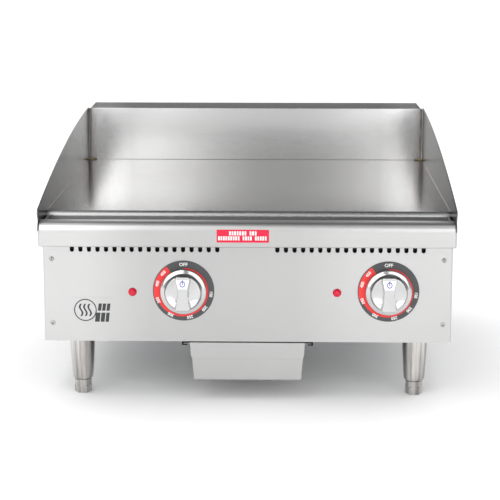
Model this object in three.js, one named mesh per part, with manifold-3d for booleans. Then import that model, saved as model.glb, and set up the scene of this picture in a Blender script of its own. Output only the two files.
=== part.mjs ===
// Countertop electric flat top griddle, 24 inches wide, on four adjustable legs.
//
// Millimetres, +Z up. Inside the model, X runs left to right as the cook sees it,
// Y is the depth behind the flat face of the front rail, and Z is the height above
// the counter. The exported group is shifted so that its origin is the middle of
// the whole griddle's footprint, at counter level.

import * as THREE from 'three';
import { mergeVertices } from 'three/addons/utils/BufferGeometryUtils.js';
import Module from 'manifold-3d';

const wasm = await Module();
wasm.setup();

// ---------------------------------------------------------------- dimensions

const INCH = 25.4;
const GAP = 0.3; // left between pieces that touch or are welded together
const ROUND = 16; // sides of a small round piece
const HOLE = 16; // sides of a round hole

// cabinet
const WIDTH = 24 * INCH;
const HALF_WIDTH = WIDTH / 2;
const CABINET_HALF_WIDTH = HALF_WIDTH - 0.6;
const CABINET_BOTTOM = 93.5;
const CABINET_BACK = 648;
const SHEET = 1.5;
const PANEL_FRONT = 43;
const PANEL_TOP = 254;
const PANEL_RETURN = 20;
const PANEL_BEND = 4;
const SIDE_TOP = 258.2;
const SIDE_FLANGE = 15;

// griddle plate and splash guards
const PLATE_TOP = 284.3;
const PLATE_THICKNESS = INCH;
const PLATE_BOTTOM = PLATE_TOP - PLATE_THICKNESS;
const PLATE_FRONT = 81;
const PLATE_EDGE_RADIUS = 8;
const SPLASH_SHEET = 2;
const SPLASH_FRONT = 625.8;
const SPLASH_TOP = 379.1;
const SPLASH_LIP_RISE = 9;
const SPLASH_LIP_DEPTH = 12;
const SPLASH_LIP_MITRE = 12;
const GUARD_BOTTOM = 260;
const GUARD_FRONT_BOTTOM = 268.6;
const GUARD_FRONT_TOP = 300.5;
const GUARD_SAG = 14; // how far the top edge bows above its straight chord
const GUARD_NOSE = 6;
const BETWEEN_GUARDS = HALF_WIDTH - SPLASH_SHEET - GAP;

// front rail
const RAIL_BOTTOM = 245.3;
const RAIL_TOP = 282;
const BULLNOSE_RADIUS = INCH / 2;
const RAIL_SHELF = 26;
const RAIL_RETURN = 14;
const RAIL_CORNER_RADIUS = 4;
const LABEL_WIDTH = 76;
const LABEL_HEIGHT = 19;
const LABEL_THICKNESS = 0.5;
const LABEL_X = -5.5;
const LABEL_Z = 262.5;

// grease trough, chute and drawer
const TROUGH_WALL_FRONT = 57;
const TROUGH_WALL_BACK = 112;
const TROUGH_FLOOR = 226;
const TROUGH_BEND = 256;
const TROUGH_HALF_WIDTH = 299.5;
const CHUTE_DEPTH = 80;
const CHUTE_HALF = 20; // the chute is square
const CHUTE_WALL = 1.5;
const CHUTE_FLANGE = 6;
const DRAWER_FRONT = PANEL_FRONT;
const DRAWER_LENGTH = 320;
const DRAWER_TOP = 92;
const DRAWER_BOTTOM = 32;
const DRAWER_TOP_HALF = 86;
const DRAWER_BOTTOM_HALF = 81.5;
const DRAWER_SHEET = 1.2;
const DRAWER_FLANGE = 9.8;
const DRAWER_FLAP = 25;
const DRAWER_RAIL_OUTER = 98.4;
const DRAWER_RAIL_INNER = 88;
const DRAWER_RAIL_BOTTOM = 87.4;

// controls: each thermostat has a dial, a knob and a pilot light to its left
const THERMOSTAT_X = { left: -94.9, right: 209.5 };
const KNOB_Z = 171.3;
const DIAL_RADIUS = 45.8;
const DIAL_THICKNESS = 0.7;
const KNOB_SKIRT_RADIUS = 35;
const KNOB_HUB_RADIUS = 26.5;
const SHAFT_RADIUS = 3;
const PILOT_OFFSET = 3 * INCH;
const PILOT_Z = 169;
const PILOT_RADIUS = INCH / 4;

// ventilation slots, in two groups on the front and on the back
const SLOT_PITCH = INCH / 2;
const SLOT_WIDTH = INCH / 4;
const SLOT_COUNT = 18;
const SLOT_FIRST = 44.45;
const SLOT_BOTTOM = 229.4;
const SLOT_HEIGHT = 18;
const BACK_SLOT_BOTTOM = 190;

// legs and feet
const LEG_X = 254;
const LEG_FRONT = 95.3;
const LEG_BACK = 590;
const LEG_BOTTOM = 22;
const LEG_TOP_RADIUS = 19;
const LEG_BOTTOM_RADIUS = 15.6;
const FOOT_RADIUS = 12.9;
const FOOT_HEX_HEIGHT = 12;
const FOOT_STEM_RADIUS = 8;
const FOOT_STEM_TOP = 62;
const STUD_RADIUS = 4.8;

// heating, under the plate
const ZONE_X = { left: -WIDTH / 4, right: WIDTH / 4 };
const ELEMENT_RADIUS = 4;
const ELEMENT_Z = PLATE_BOTTOM - GAP - ELEMENT_RADIUS;
const ELEMENT_PITCH = 66;
const ELEMENT_FRONT = 150;
const ELEMENT_BACK = 570;
const SHIELD_FRONT = 124;
const SHIELD_BACK = 590;
const SHIELD_BOTTOM = 203;
const INSULATION_TOP = 240;

// fasteners
const SCREW_HEAD_RADIUS = 3.8;
const SCREW_HEAD_HEIGHT = 2.4;
const SCREW_SHANK_RADIUS = 2;
const SCREW_X = 291;
const SCREW_ROWS = { top: 218.6, bottom: 121.1 };

// power inlet, in the back panel
const INLET_X = 220;
const INLET_Z = 130;
const INLET_BORE = 9;
const INLET_TUBE = 13;
const INLET_FLANGE = 17;
const INLET_PROUD = 6;

// ----------------------------------------------------------------- materials

function metal(name, colour, roughness) {
  return new THREE.MeshStandardMaterial({ name, color: colour, roughness, metalness: 1 });
}

function nonMetal(name, colour, roughness) {
  return new THREE.MeshStandardMaterial({ name, color: colour, roughness, metalness: 0 });
}

const brushedSteel = () => metal('brushed_steel', 0xc4c4c2, 0.35);
const polishedPlate = () => metal('polished_plate', 0xa8a7a3, 0.22);
const splashSteel = () => metal('splash_steel', 0xbdbdbb, 0.3);
const galvanised = () => metal('galvanised', 0x9a9c9c, 0.5);
const chrome = () => metal('chrome', 0xdadada, 0.12);
const darkSteel = () => metal('dark_steel', 0x4b4a48, 0.45);
const screwSteel = () => metal('screw_steel', 0x8f8f8d, 0.35);
const castAlloy = () => metal('leg_alloy', 0xb4b4b2, 0.3);
const copper = () => metal('capillary_copper', 0xb4764f, 0.35);
const dialPrint = () => nonMetal('dial_print', 0x4a4b4c, 0.45);
const redLens = () => nonMetal('red_lens', 0xc01428, 0.2);
const cautionRed = () => nonMetal('caution_red', 0xd3163a, 0.4);
const badgeGrey = () => nonMetal('badge_grey', 0x55575a, 0.4);
const blackPlastic = () => nonMetal('black_plastic', 0x1c1c1d, 0.5);
const mineralWool = () => nonMetal('mineral_wool', 0xb9ae8e, 0.95);
const wireSleeve = () => nonMetal('wire_sleeve', 0xb8b0a2, 0.6);

// --------------------------------------------------------- geometry builders

/** Turns a closed three.js geometry into a manifold solid. */
function solid(geometry) {
  const bare = geometry.clone();
  bare.deleteAttribute('normal');
  bare.deleteAttribute('uv');
  const merged = mergeVertices(bare, 1e-4);
  const mesh = new wasm.Mesh({
    numProp: 3,
    vertProperties: new Float32Array(merged.attributes.position.array),
    triVerts: new Uint32Array(merged.index.array),
  });
  mesh.merge();
  return new wasm.Manifold(mesh);
}

/** Turns a manifold solid back into a three.js geometry. */
function geometryOf(body) {
  const mesh = body.getMesh();
  const geometry = new THREE.BufferGeometry();
  geometry.setAttribute('position', new THREE.BufferAttribute(mesh.vertProperties, 3));
  geometry.setIndex(new THREE.BufferAttribute(mesh.triVerts, 1));
  geometry.computeVertexNormals();
  return geometry;
}

function join(...geometries) {
  return geometryOf(geometries.map(solid).reduce((whole, next) => whole.add(next)));
}

function cut(geometry, ...tools) {
  return geometryOf(tools.map(solid).reduce((whole, tool) => whole.subtract(tool), solid(geometry)));
}

function common(first, second) {
  return geometryOf(solid(first).intersect(solid(second)));
}

/** A box given by its lowest and highest corners. */
function slab([x0, y0, z0], [x1, y1, z1]) {
  const box = new THREE.BoxGeometry(x1 - x0, y1 - y0, z1 - z0);
  return box.translate((x0 + x1) / 2, (y0 + y1) / 2, (z0 + z1) / 2);
}

function shapeOf(outline) {
  return new THREE.Shape(outline.map(([u, v]) => new THREE.Vector2(u, v)));
}

function extrude(shape, depth) {
  return new THREE.ExtrudeGeometry(shape, { depth, bevelEnabled: false, curveSegments: 12 });
}

/** Extrudes an outline of [y, z] points along X. */
function acrossX(outline, x0, x1) {
  const basis = new THREE.Matrix4().makeBasis(
    new THREE.Vector3(0, 1, 0), new THREE.Vector3(0, 0, 1), new THREE.Vector3(1, 0, 0));
  return extrude(shapeOf(outline), x1 - x0).applyMatrix4(basis).translate(x0, 0, 0);
}

/** Extrudes an outline of [x, z] points along Y. */
function alongY(outline, y0, y1) {
  const basis = new THREE.Matrix4().makeBasis(
    new THREE.Vector3(1, 0, 0), new THREE.Vector3(0, 0, 1), new THREE.Vector3(0, -1, 0));
  return extrude(shapeOf(outline), y1 - y0).applyMatrix4(basis).translate(0, y1, 0);
}

/** Extrudes an outline of [x, y] points along Z. */
function upZ(outline, z0, z1) {
  return extrude(shapeOf(outline), z1 - z0).translate(0, 0, z0);
}

/** Points of an arc, angles in degrees, counter-clockwise when positive. */
function arc([centreU, centreV], radius, from, to, steps) {
  const points = [];
  for (let i = 0; i <= steps; i += 1) {
    const angle = THREE.MathUtils.degToRad(from + ((to - from) * i) / steps);
    points.push([centreU + radius * Math.cos(angle), centreV + radius * Math.sin(angle)]);
  }
  return points;
}

/** Closed outline of a circle. */
function circle(centre, radius, sides) {
  return arc(centre, radius, 0, 360 - 360 / sides, sides - 1);
}

/** Closed outline of a bent sheet: a polyline and its copy moved left by the thickness. */
function sheetOutline(line, thickness) {
  const normal = ([u0, v0], [u1, v1]) => {
    const length = Math.hypot(u1 - u0, v1 - v0);
    return [-(v1 - v0) / length, (u1 - u0) / length];
  };
  const offset = line.map(([u, v], i) => {
    const before = normal(line[Math.max(i - 1, 0)], line[Math.max(i, 1)]);
    const after = normal(line[Math.min(i, line.length - 2)], line[Math.min(i + 1, line.length - 1)]);
    const stretch = thickness / (1 + before[0] * after[0] + before[1] * after[1]);
    return [u + (before[0] + after[0]) * stretch, v + (before[1] + after[1]) * stretch];
  });
  return [...line, ...offset.reverse()];
}

/** A body turned about Z from [radius, height] points. */
function turned(profile, segments) {
  return new THREE.LatheGeometry(profile.map(([r, h]) => new THREE.Vector2(r, h)), segments)
    .rotateX(Math.PI / 2);
}

/** A body turned about the Y axis; its heights grow towards the cook. */
function turnedToFront(profile, segments) {
  return turned(profile, segments).rotateX(Math.PI / 2);
}

/** A tube of the given radius along a curve. */
function tube(curve, radius, sides, steps) {
  const section = shapeOf(circle([0, 0], radius, sides));
  return new THREE.ExtrudeGeometry(section, { steps, extrudePath: curve, bevelEnabled: false });
}

/** A slot with round ends, standing upright in the XZ plane. */
function uprightSlot(x, bottom, height, width) {
  const r = width / 2;
  return [...arc([x, bottom + height - r], r, 0, 180, 3), ...arc([x, bottom + r], r, 180, 360, 3)];
}

/** Ventilation slot cutters in two groups beside the middle; every = 2 leaves out each second. */
function ventCutters(bottom, y0, y1, every = 1) {
  const cutters = [];
  for (let i = 0; i < SLOT_COUNT; i += every) {
    const x = SLOT_FIRST + i * SLOT_PITCH;
    cutters.push(alongY(uprightSlot(x, bottom, SLOT_HEIGHT, SLOT_WIDTH), y0, y1));
    cutters.push(alongY(uprightSlot(-x, bottom, SLOT_HEIGHT, SLOT_WIDTH), y0, y1));
  }
  return cutters;
}

/** A round hole cutter through an upright sheet. */
function roundHole(x, z, radius, y0, y1) {
  return alongY(circle([x, z], radius, HOLE), y0, y1);
}

// ------------------------------------------------------------- scene helpers

const model = new THREE.Group();

function add(name, geometry, material, [x, y, z] = [0, 0, 0]) {
  const mesh = new THREE.Mesh(geometry, material);
  mesh.name = name;
  mesh.position.set(x, y, z);
  model.add(mesh);
  return mesh;
}

const SIDES = [['left', -1], ['right', 1]];

// ------------------------------------------------------------- cooking plate

function platePiece() {
  const edge = arc([PLATE_FRONT + PLATE_EDGE_RADIUS, PLATE_TOP - PLATE_EDGE_RADIUS],
    PLATE_EDGE_RADIUS, 90, 180, 4);
  const back = SPLASH_FRONT - GAP;
  const outline = [[back, PLATE_TOP], ...edge, [PLATE_FRONT, PLATE_BOTTOM], [back, PLATE_BOTTOM]];
  return acrossX(outline, -BETWEEN_GUARDS, BETWEEN_GUARDS);
}

function bullnose(from, to, steps) {
  return arc([BULLNOSE_RADIUS, RAIL_TOP - BULLNOSE_RADIUS], BULLNOSE_RADIUS, from, to, steps);
}

/** Side guard: a flat sheet with a bowed top edge and a nose that follows the bullnose. */
function guardPiece() {
  const back = SPLASH_FRONT + SPLASH_SHEET;
  const top = [];
  const steps = 14;
  for (let i = 0; i <= steps; i += 1) {
    const t = 1 - i / steps;
    const straight = THREE.MathUtils.lerp(GUARD_FRONT_TOP, SPLASH_TOP, t);
    top.push([GUARD_NOSE + (back - GUARD_NOSE) * t, straight + 4 * GUARD_SAG * t * (1 - t)]);
  }
  const noseCentre = [GUARD_NOSE + 0.6, GUARD_FRONT_TOP - GUARD_NOSE];
  const nose = arc(noseCentre, GUARD_NOSE, 110, 215, 6);
  const outline = [
    [back, GUARD_BOTTOM], ...top, ...nose, ...bullnose(110, 180, 6),
    [0, GUARD_FRONT_BOTTOM], [PANEL_FRONT, GUARD_FRONT_BOTTOM], [PANEL_FRONT, GUARD_BOTTOM],
  ];
  return acrossX(outline, 0, SPLASH_SHEET);
}

/** Rear splash: upright sheet with a lip bent back and mitred at its ends. */
function rearSplashPiece() {
  const top = SPLASH_TOP - SPLASH_SHEET / 2;
  const line = [
    [SPLASH_FRONT, PLATE_BOTTOM],
    [SPLASH_FRONT, top],
    [SPLASH_FRONT + SPLASH_LIP_DEPTH, top + SPLASH_LIP_RISE],
  ];
  const sheet = acrossX(sheetOutline(line.reverse(), SPLASH_SHEET), -BETWEEN_GUARDS, BETWEEN_GUARDS);
  const high = top + SPLASH_LIP_RISE + SPLASH_SHEET;
  const inset = BETWEEN_GUARDS - SPLASH_LIP_MITRE;
  const mitred = [
    [-BETWEEN_GUARDS, PLATE_BOTTOM - 1], [BETWEEN_GUARDS, PLATE_BOTTOM - 1],
    [BETWEEN_GUARDS, SPLASH_TOP], [inset, high], [-inset, high], [-BETWEEN_GUARDS, SPLASH_TOP],
  ];
  return common(sheet, alongY(mitred, SPLASH_FRONT - 1, SPLASH_FRONT + SPLASH_LIP_DEPTH + 10));
}

// -------------------------------------------------------- rail, trough, chute

/** Front rail: bullnose over a flat face that wraps round both corners of the cabinet. */
function frontRailPiece() {
  const back = PANEL_FRONT - GAP;
  const wrapTop = GUARD_FRONT_BOTTOM - GAP;
  const outer = [
    [back, RAIL_BOTTOM], [back, wrapTop], [RAIL_SHELF, wrapTop], [RAIL_SHELF, RAIL_TOP],
    ...bullnose(90, 180, 8), [0, RAIL_BOTTOM],
  ];
  const centre = [BULLNOSE_RADIUS, RAIL_TOP - BULLNOSE_RADIUS];
  const inner = [
    [PANEL_FRONT + 1, RAIL_BOTTOM + SHEET], [PANEL_FRONT + 1, RAIL_TOP - SHEET],
    ...arc(centre, BULLNOSE_RADIUS - SHEET, 90, 180, 8), [SHEET, RAIL_BOTTOM + SHEET],
  ];
  const r = RAIL_CORNER_RADIUS;
  const plan = [
    [HALF_WIDTH, PANEL_FRONT], [-HALF_WIDTH, PANEL_FRONT],
    ...arc([-HALF_WIDTH + r, r], r, 180, 270, 6), ...arc([HALF_WIDTH - r, r], r, 270, 360, 6),
  ];
  const wrap = common(acrossX(outer, -HALF_WIDTH, HALF_WIDTH), upZ(plan, RAIL_BOTTOM - 1, RAIL_TOP + 1));
  const room = HALF_WIDTH - SHEET;
  const endCutters = SIDES.map(([, side]) => slab(
    [side > 0 ? BETWEEN_GUARDS : -HALF_WIDTH - 1, -1, wrapTop],
    [side > 0 ? HALF_WIDTH + 1 : -BETWEEN_GUARDS, PANEL_FRONT, RAIL_TOP + 1]));
  const underside = slab([-room, RAIL_RETURN, RAIL_BOTTOM - 1], [room, PANEL_FRONT + 1, RAIL_BOTTOM + 2]);
  return cut(wrap, acrossX(inner, -room, room), underside, ...endCutters);
}

/** Square column on the chute's centre line. */
function chuteColumn(half, bottom, top) {
  return slab([-half, CHUTE_DEPTH - half, bottom], [half, CHUTE_DEPTH + half, top]);
}

/** Grease trough: a bent sheet under the plate's front edge, closed at its ends. */
function troughPiece() {
  const hook = RAIL_TOP - SHEET - GAP;
  const rim = RAIL_SHELF + 2;
  const line = [
    [BULLNOSE_RADIUS + 2, hook], [rim, hook], [TROUGH_WALL_FRONT, TROUGH_BEND],
    [TROUGH_WALL_FRONT, TROUGH_FLOOR], [TROUGH_WALL_BACK, TROUGH_FLOOR],
    [TROUGH_WALL_BACK, PLATE_BOTTOM - 2],
  ];
  const reach = TROUGH_HALF_WIDTH;
  const sheet = acrossX(sheetOutline(line.reverse(), SHEET), -reach, reach);
  const ends = SIDES.map(([, side]) => acrossX([
    [rim, hook - 1], [TROUGH_WALL_FRONT, TROUGH_BEND],
    [TROUGH_WALL_FRONT, TROUGH_FLOOR], [TROUGH_WALL_BACK, TROUGH_FLOOR],
    [TROUGH_WALL_BACK, PLATE_BOTTOM - 2], [PLATE_FRONT - 4, PLATE_BOTTOM - 2],
    [PLATE_FRONT - 4, hook - 1],
  ], side > 0 ? reach - SHEET : -reach, side > 0 ? reach : -reach + SHEET));
  return cut(join(sheet, ...ends), chuteColumn(CHUTE_HALF, TROUGH_FLOOR - 5, TROUGH_FLOOR + 5));
}

/** Chute: a square duct with a flange, from the trough's drain down through the cabinet floor. */
function chutePiece() {
  const top = TROUGH_FLOOR - SHEET - GAP;
  const bottom = CABINET_BOTTOM - 0.5;
  const outer = CHUTE_HALF + CHUTE_WALL;
  const duct = chuteColumn(outer, bottom, top);
  const flange = chuteColumn(outer + CHUTE_FLANGE, top - CHUTE_WALL, top);
  return cut(join(duct, flange), chuteColumn(CHUTE_HALF, bottom - 1, top + 1));
}

// ------------------------------------------------------------------- cabinet

/** Control panel: front sheet with both sides bent back, vents, and holes for the controls. */
function controlPanelPiece() {
  const half = CABINET_HALF_WIDTH;
  const back = PANEL_FRONT + PANEL_RETURN;
  const r = PANEL_BEND;
  const front = PANEL_FRONT;
  const line = [
    [-half, back], ...arc([-half + r, front + r], r, 180, 270, 4),
    ...arc([half - r, front + r], r, 270, 360, 4), [half, back],
  ];
  const sheet = upZ(sheetOutline(line, SHEET), CABINET_BOTTOM, PANEL_TOP);
  const y0 = front - 5;
  const y1 = front + 5;
  const controls = SIDES.flatMap(([side]) => [
    roundHole(THERMOSTAT_X[side], KNOB_Z, 5.6, y0, y1),
    roundHole(THERMOSTAT_X[side] - PILOT_OFFSET, PILOT_Z, 5.2, y0, y1),
  ]);
  const screws = SIDES.flatMap(([, side]) => Object.values(SCREW_ROWS).map((z) => (
    roundHole(side * SCREW_X, z, SCREW_SHANK_RADIUS + GAP, y0, y1))));
  return cut(sheet, ...ventCutters(SLOT_BOTTOM, y0, y1), ...controls, ...screws);
}

/** Side panel for the right side; its top flange carries the plate. */
function sidePanelPiece(side) {
  const outer = side * CABINET_HALF_WIDTH;
  const inner = side * (CABINET_HALF_WIDTH - SHEET);
  const flange = side * (CABINET_HALF_WIDTH - SIDE_FLANGE);
  const [low, high] = [Math.min(outer, inner), Math.max(outer, inner)];
  const front = PANEL_FRONT + PANEL_RETURN + GAP;
  const back = CABINET_BACK - SHEET - GAP;
  const wall = slab([low, front, CABINET_BOTTOM], [high, back, SIDE_TOP]);
  const ledge = slab([Math.min(outer, flange), SHIELD_FRONT, SIDE_TOP - SHEET],
    [Math.max(outer, flange), SPLASH_FRONT - 6, SIDE_TOP]);
  return join(wall, ledge);
}

/** Back panel: vents, a power inlet hole, and a flange that closes the gap behind the splash. */
function rearPanelPiece() {
  const flangeFront = SPLASH_FRONT + SPLASH_SHEET + GAP;
  const line = [[flangeFront, GUARD_BOTTOM], [CABINET_BACK, GUARD_BOTTOM], [CABINET_BACK, CABINET_BOTTOM]];
  const sheet = acrossX(sheetOutline(line.reverse(), SHEET), -CABINET_HALF_WIDTH, CABINET_HALF_WIDTH);
  const y0 = CABINET_BACK - 5;
  const y1 = CABINET_BACK + 5;
  const inlet = roundHole(INLET_X, INLET_Z, INLET_TUBE + GAP, y0, y1);
  const screws = SIDES.flatMap(([, side]) => Object.values(SCREW_ROWS).map((z) => (
    roundHole(side * SCREW_X, z, SCREW_SHANK_RADIUS + GAP, y0, y1))));
  return cut(sheet, ...ventCutters(BACK_SLOT_BOTTOM, y0, y1, 2), inlet, ...screws);
}

/** Cabinet floor: a shallow tray with holes for the chute and the legs' studs. */
function bottomPanPiece() {
  const half = CABINET_HALF_WIDTH - PANEL_BEND;
  const front = PANEL_FRONT + SHEET + GAP;
  const back = CABINET_BACK - SHEET - GAP;
  const rim = CABINET_BOTTOM + 12;
  const tray = slab([-half, front, CABINET_BOTTOM], [half, back, rim]);
  const inside = slab([-half + SHEET, front + SHEET, CABINET_BOTTOM + SHEET],
    [half - SHEET, back - SHEET, rim + 1]);
  const hole = (x, y, radius) => upZ(
    circle([x, y], radius, HOLE), CABINET_BOTTOM - 1, CABINET_BOTTOM + 5);
  const studs = [];
  for (const x of [-LEG_X, LEG_X]) {
    for (const y of [LEG_FRONT, LEG_BACK]) {
      studs.push(hole(x, y, STUD_RADIUS + GAP));
    }
  }
  const chute = chuteColumn(CHUTE_HALF + CHUTE_WALL + GAP, CABINET_BOTTOM - 1, CABINET_BOTTOM + 5);
  return cut(tray, inside, chute, ...studs);
}

/** Cross member: a channel that carries the heat shield between the side panels. */
function crossMemberPiece() {
  const half = CABINET_HALF_WIDTH - SHEET - GAP;
  const line = [[-12, -22], [-12, 0], [12, 0], [12, -22]];
  return acrossX(sheetOutline(line.reverse(), SHEET), -half, half);
}

// ------------------------------------------------------------------- heating

/** Heating element: a rod bent to and fro under one zone, its ends turned down at the back. */
function elementPiece() {
  const path = new THREE.CurvePath();
  const passes = [-1.5, -0.5, 0.5, 1.5].map((n) => n * ELEMENT_PITCH);
  const tail = 16;
  const at = (x, y, z) => new THREE.Vector3(x, y, z);
  const downAt = (x, reversed) => {
    const straight = [at(x, ELEMENT_BACK + 2 * tail, -60), at(x, ELEMENT_BACK + 2 * tail, -tail)];
    const knee = [straight[1], at(x, ELEMENT_BACK + 2 * tail, 0), at(x, ELEMENT_BACK + tail, 0)];
    const ends = reversed ? [...knee].reverse() : knee;
    const bend = new THREE.QuadraticBezierCurve3(...ends);
    const drop = new THREE.LineCurve3(...(reversed ? [...straight].reverse() : straight));
    return reversed ? [bend, drop] : [drop, bend];
  };
  const addAll = (curves) => curves.forEach((curve) => path.add(curve));
  addAll(downAt(passes[0], false));
  passes.forEach((x, i) => {
    const forward = i % 2 === 0;
    const outerEnd = i === 0 || i === passes.length - 1 ? ELEMENT_BACK + tail : ELEMENT_BACK;
    const from = at(x, forward ? outerEnd : ELEMENT_FRONT, 0);
    const to = at(x, forward ? ELEMENT_FRONT : outerEnd, 0);
    path.add(new THREE.LineCurve3(from, to));
    if (i < passes.length - 1) {
      const reach = forward ? -ELEMENT_PITCH * 0.66 : ELEMENT_PITCH * 0.66;
      const next = at(passes[i + 1], to.y, 0);
      path.add(new THREE.CubicBezierCurve3(
        to, at(x, to.y + reach, 0), at(passes[i + 1], to.y + reach, 0), next));
    }
  });
  addAll(downAt(passes[passes.length - 1], true));
  return tube(path, ELEMENT_RADIUS, 6, 64);
}

function clampPiece() {
  return slab([-280, -12.5, -3], [280, 12.5, 0]);
}

/** Heat shield: an open tray under the insulation. */
function heatShieldPiece() {
  const half = CABINET_HALF_WIDTH - SHEET - SIDE_FLANGE;
  const tray = slab([-half, SHIELD_FRONT, SHIELD_BOTTOM], [half, SHIELD_BACK, INSULATION_TOP]);
  const inside = slab([-half + SHEET, SHIELD_FRONT + SHEET, SHIELD_BOTTOM + SHEET],
    [half - SHEET, SHIELD_BACK - SHEET, INSULATION_TOP + 1]);
  return cut(tray, inside);
}

function insulationPiece() {
  const half = CABINET_HALF_WIDTH - 2 * SHEET - SIDE_FLANGE - GAP;
  return slab([-half, SHIELD_FRONT + SHEET + GAP, SHIELD_BOTTOM + SHEET + GAP],
    [half, SHIELD_BACK - SHEET - GAP, INSULATION_TOP]);
}

// ------------------------------------------------------------------ controls

/** Thermostat body with the bushing that carries its shaft; the origin is on the shaft's axis. */
function thermostatPiece() {
  const back = PANEL_FRONT + SHEET + GAP;
  const body = slab([-24, back, -22], [24, back + 46, 22]);
  const bushing = alongY(circle([0, 0], 5, ROUND), PANEL_FRONT - 1, back + 1);
  const bore = alongY(circle([0, 0], SHAFT_RADIUS + GAP, ROUND), PANEL_FRONT - 5, back + 14);
  return cut(join(body, bushing), bore);
}

function shaftPiece() {
  return alongY(circle([0, 0], SHAFT_RADIUS, ROUND), PANEL_FRONT - 22, PANEL_FRONT + 14);
}

/** Sensing bulb under the plate with the capillary that leads down to the thermostat. */
function sensingBulbPiece(side) {
  const bulbX = ZONE_X[side] + ELEMENT_PITCH / 2 - 33;
  const startX = THERMOSTAT_X[side];
  const bulbFront = 160;
  const curve = new THREE.CatmullRomCurve3([
    new THREE.Vector3(startX, PANEL_FRONT + 49, KNOB_Z + 12),
    new THREE.Vector3(startX, PANEL_FRONT + 64, KNOB_Z + 14),
    new THREE.Vector3(startX, SHIELD_FRONT - 7, KNOB_Z + 30),
    new THREE.Vector3((startX + bulbX) / 2, SHIELD_FRONT - 7, INSULATION_TOP + 4),
    new THREE.Vector3(bulbX, SHIELD_FRONT + 12, ELEMENT_Z),
    new THREE.Vector3(bulbX, bulbFront + 5, ELEMENT_Z),
  ]);
  const bulb = alongY(circle([bulbX, ELEMENT_Z], 4, 8), bulbFront, bulbFront + 90);
  return join(tube(curve, 1.2, 6, 20), bulb);
}

/** Dial plate: a thin printed ring round the knob; the origin is on the shaft's axis. */
function dialPiece() {
  const back = GAP;
  return turnedToFront([
    [12, back], [DIAL_RADIUS, back], [DIAL_RADIUS, back + DIAL_THICKNESS],
    [12, back + DIAL_THICKNESS], [12, back],
  ], 32);
}

/** Knob: a low skirt, a hub and an hourglass grip bar; heights are above the panel. */
function knobPiece() {
  const floor = GAP + DIAL_THICKNESS + 1;
  const body = turnedToFront([
    [0, floor], [KNOB_SKIRT_RADIUS, floor], [KNOB_SKIRT_RADIUS, 9], [KNOB_SKIRT_RADIUS - 2, 11],
    [KNOB_HUB_RADIUS + 2, 13], [KNOB_HUB_RADIUS, 15], [KNOB_HUB_RADIUS - 1.5, 20], [0, 20],
  ], 28);
  const waist = 7.5;
  const end = 13;
  const reach = 28;
  const grip = [];
  const steps = 6;
  for (let i = 0; i <= steps; i += 1) {
    const t = (2 * i) / steps - 1;
    grip.push([waist + (end - waist) * t * t, reach * t * (1 - 0.1 * (1 - t * t))]);
  }
  const outline = [...grip, ...grip.map(([u, v]) => [-u, -v])];
  const bar = alongY(outline, -27, -10);
  const domed = turnedToFront([[0, 9], [30, 9], [28, 24], [22, 27], [0, 27]], 28);
  const bore = alongY(circle([0, 0], SHAFT_RADIUS + GAP, ROUND), -23, 0);
  return cut(join(body, common(bar, domed)), bore);
}

function pilotLensPiece() {
  const r = PILOT_RADIUS;
  const dome = [];
  for (let i = 0; i <= 5; i += 1) {
    const angle = (i / 5) * (Math.PI / 2);
    dome.push([r * Math.cos(angle), 1.4 + 4.6 * Math.sin(angle)]);
  }
  dome[dome.length - 1][0] = 0;
  return turnedToFront([[0, -8], [4.8, -8], [4.8, GAP], [r, GAP], ...dome], ROUND);
}

function pilotLampPiece() {
  return turnedToFront([[0, -34], [7, -34], [7, -8 - GAP], [0, -8 - GAP]], 10);
}

/** Round-headed screw whose head stands on the panel face. */
function screwPiece() {
  const r = SCREW_HEAD_RADIUS;
  const shank = SCREW_SHANK_RADIUS;
  return turnedToFront([
    [0, -10], [shank, -10], [shank, GAP], [r, GAP], [r, GAP + 0.8],
    [r * 0.72, GAP + SCREW_HEAD_HEIGHT * 0.85], [0, GAP + SCREW_HEAD_HEIGHT],
  ], 10);
}

function wirePiece(side) {
  const x = THERMOSTAT_X[side];
  const drop = CABINET_BOTTOM + 24;
  const inset = side === 'left' ? -8 : 8;
  const curve = new THREE.CatmullRomCurve3([
    new THREE.Vector3(x + 10, PANEL_FRONT + 50, KNOB_Z - 10),
    new THREE.Vector3(x + 10, PANEL_FRONT + 72, KNOB_Z - 22),
    new THREE.Vector3(x + 16, 180, drop),
    new THREE.Vector3(INLET_X - 60 + inset, 430, drop),
    new THREE.Vector3(INLET_X - 10 + inset, 520, drop),
    new THREE.Vector3(INLET_X - 10 + inset, 559, drop - 6),
  ]);
  return tube(curve, 2.2, 6, 20);
}

function terminalBlockPiece() {
  const base = slab([-32, 0, 0], [32, 34, 10]);
  const ribs = [-30, -10, 10, 30].map((x) => slab([x - 2, 2, 9], [x + 2, 32, 26]));
  return join(base, ...ribs);
}

/** Power inlet bushing: a flanged sleeve through the back panel. */
function inletPiece() {
  return turned([
    [INLET_BORE, -14], [INLET_TUBE, -14], [INLET_TUBE, GAP], [INLET_FLANGE, GAP],
    [INLET_FLANGE, INLET_PROUD - 2], [INLET_FLANGE - 2, INLET_PROUD], [INLET_BORE, INLET_PROUD],
    [INLET_BORE, -14],
  ], ROUND).rotateX(-Math.PI / 2);
}

// ------------------------------------------------------------ grease drawer

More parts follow.
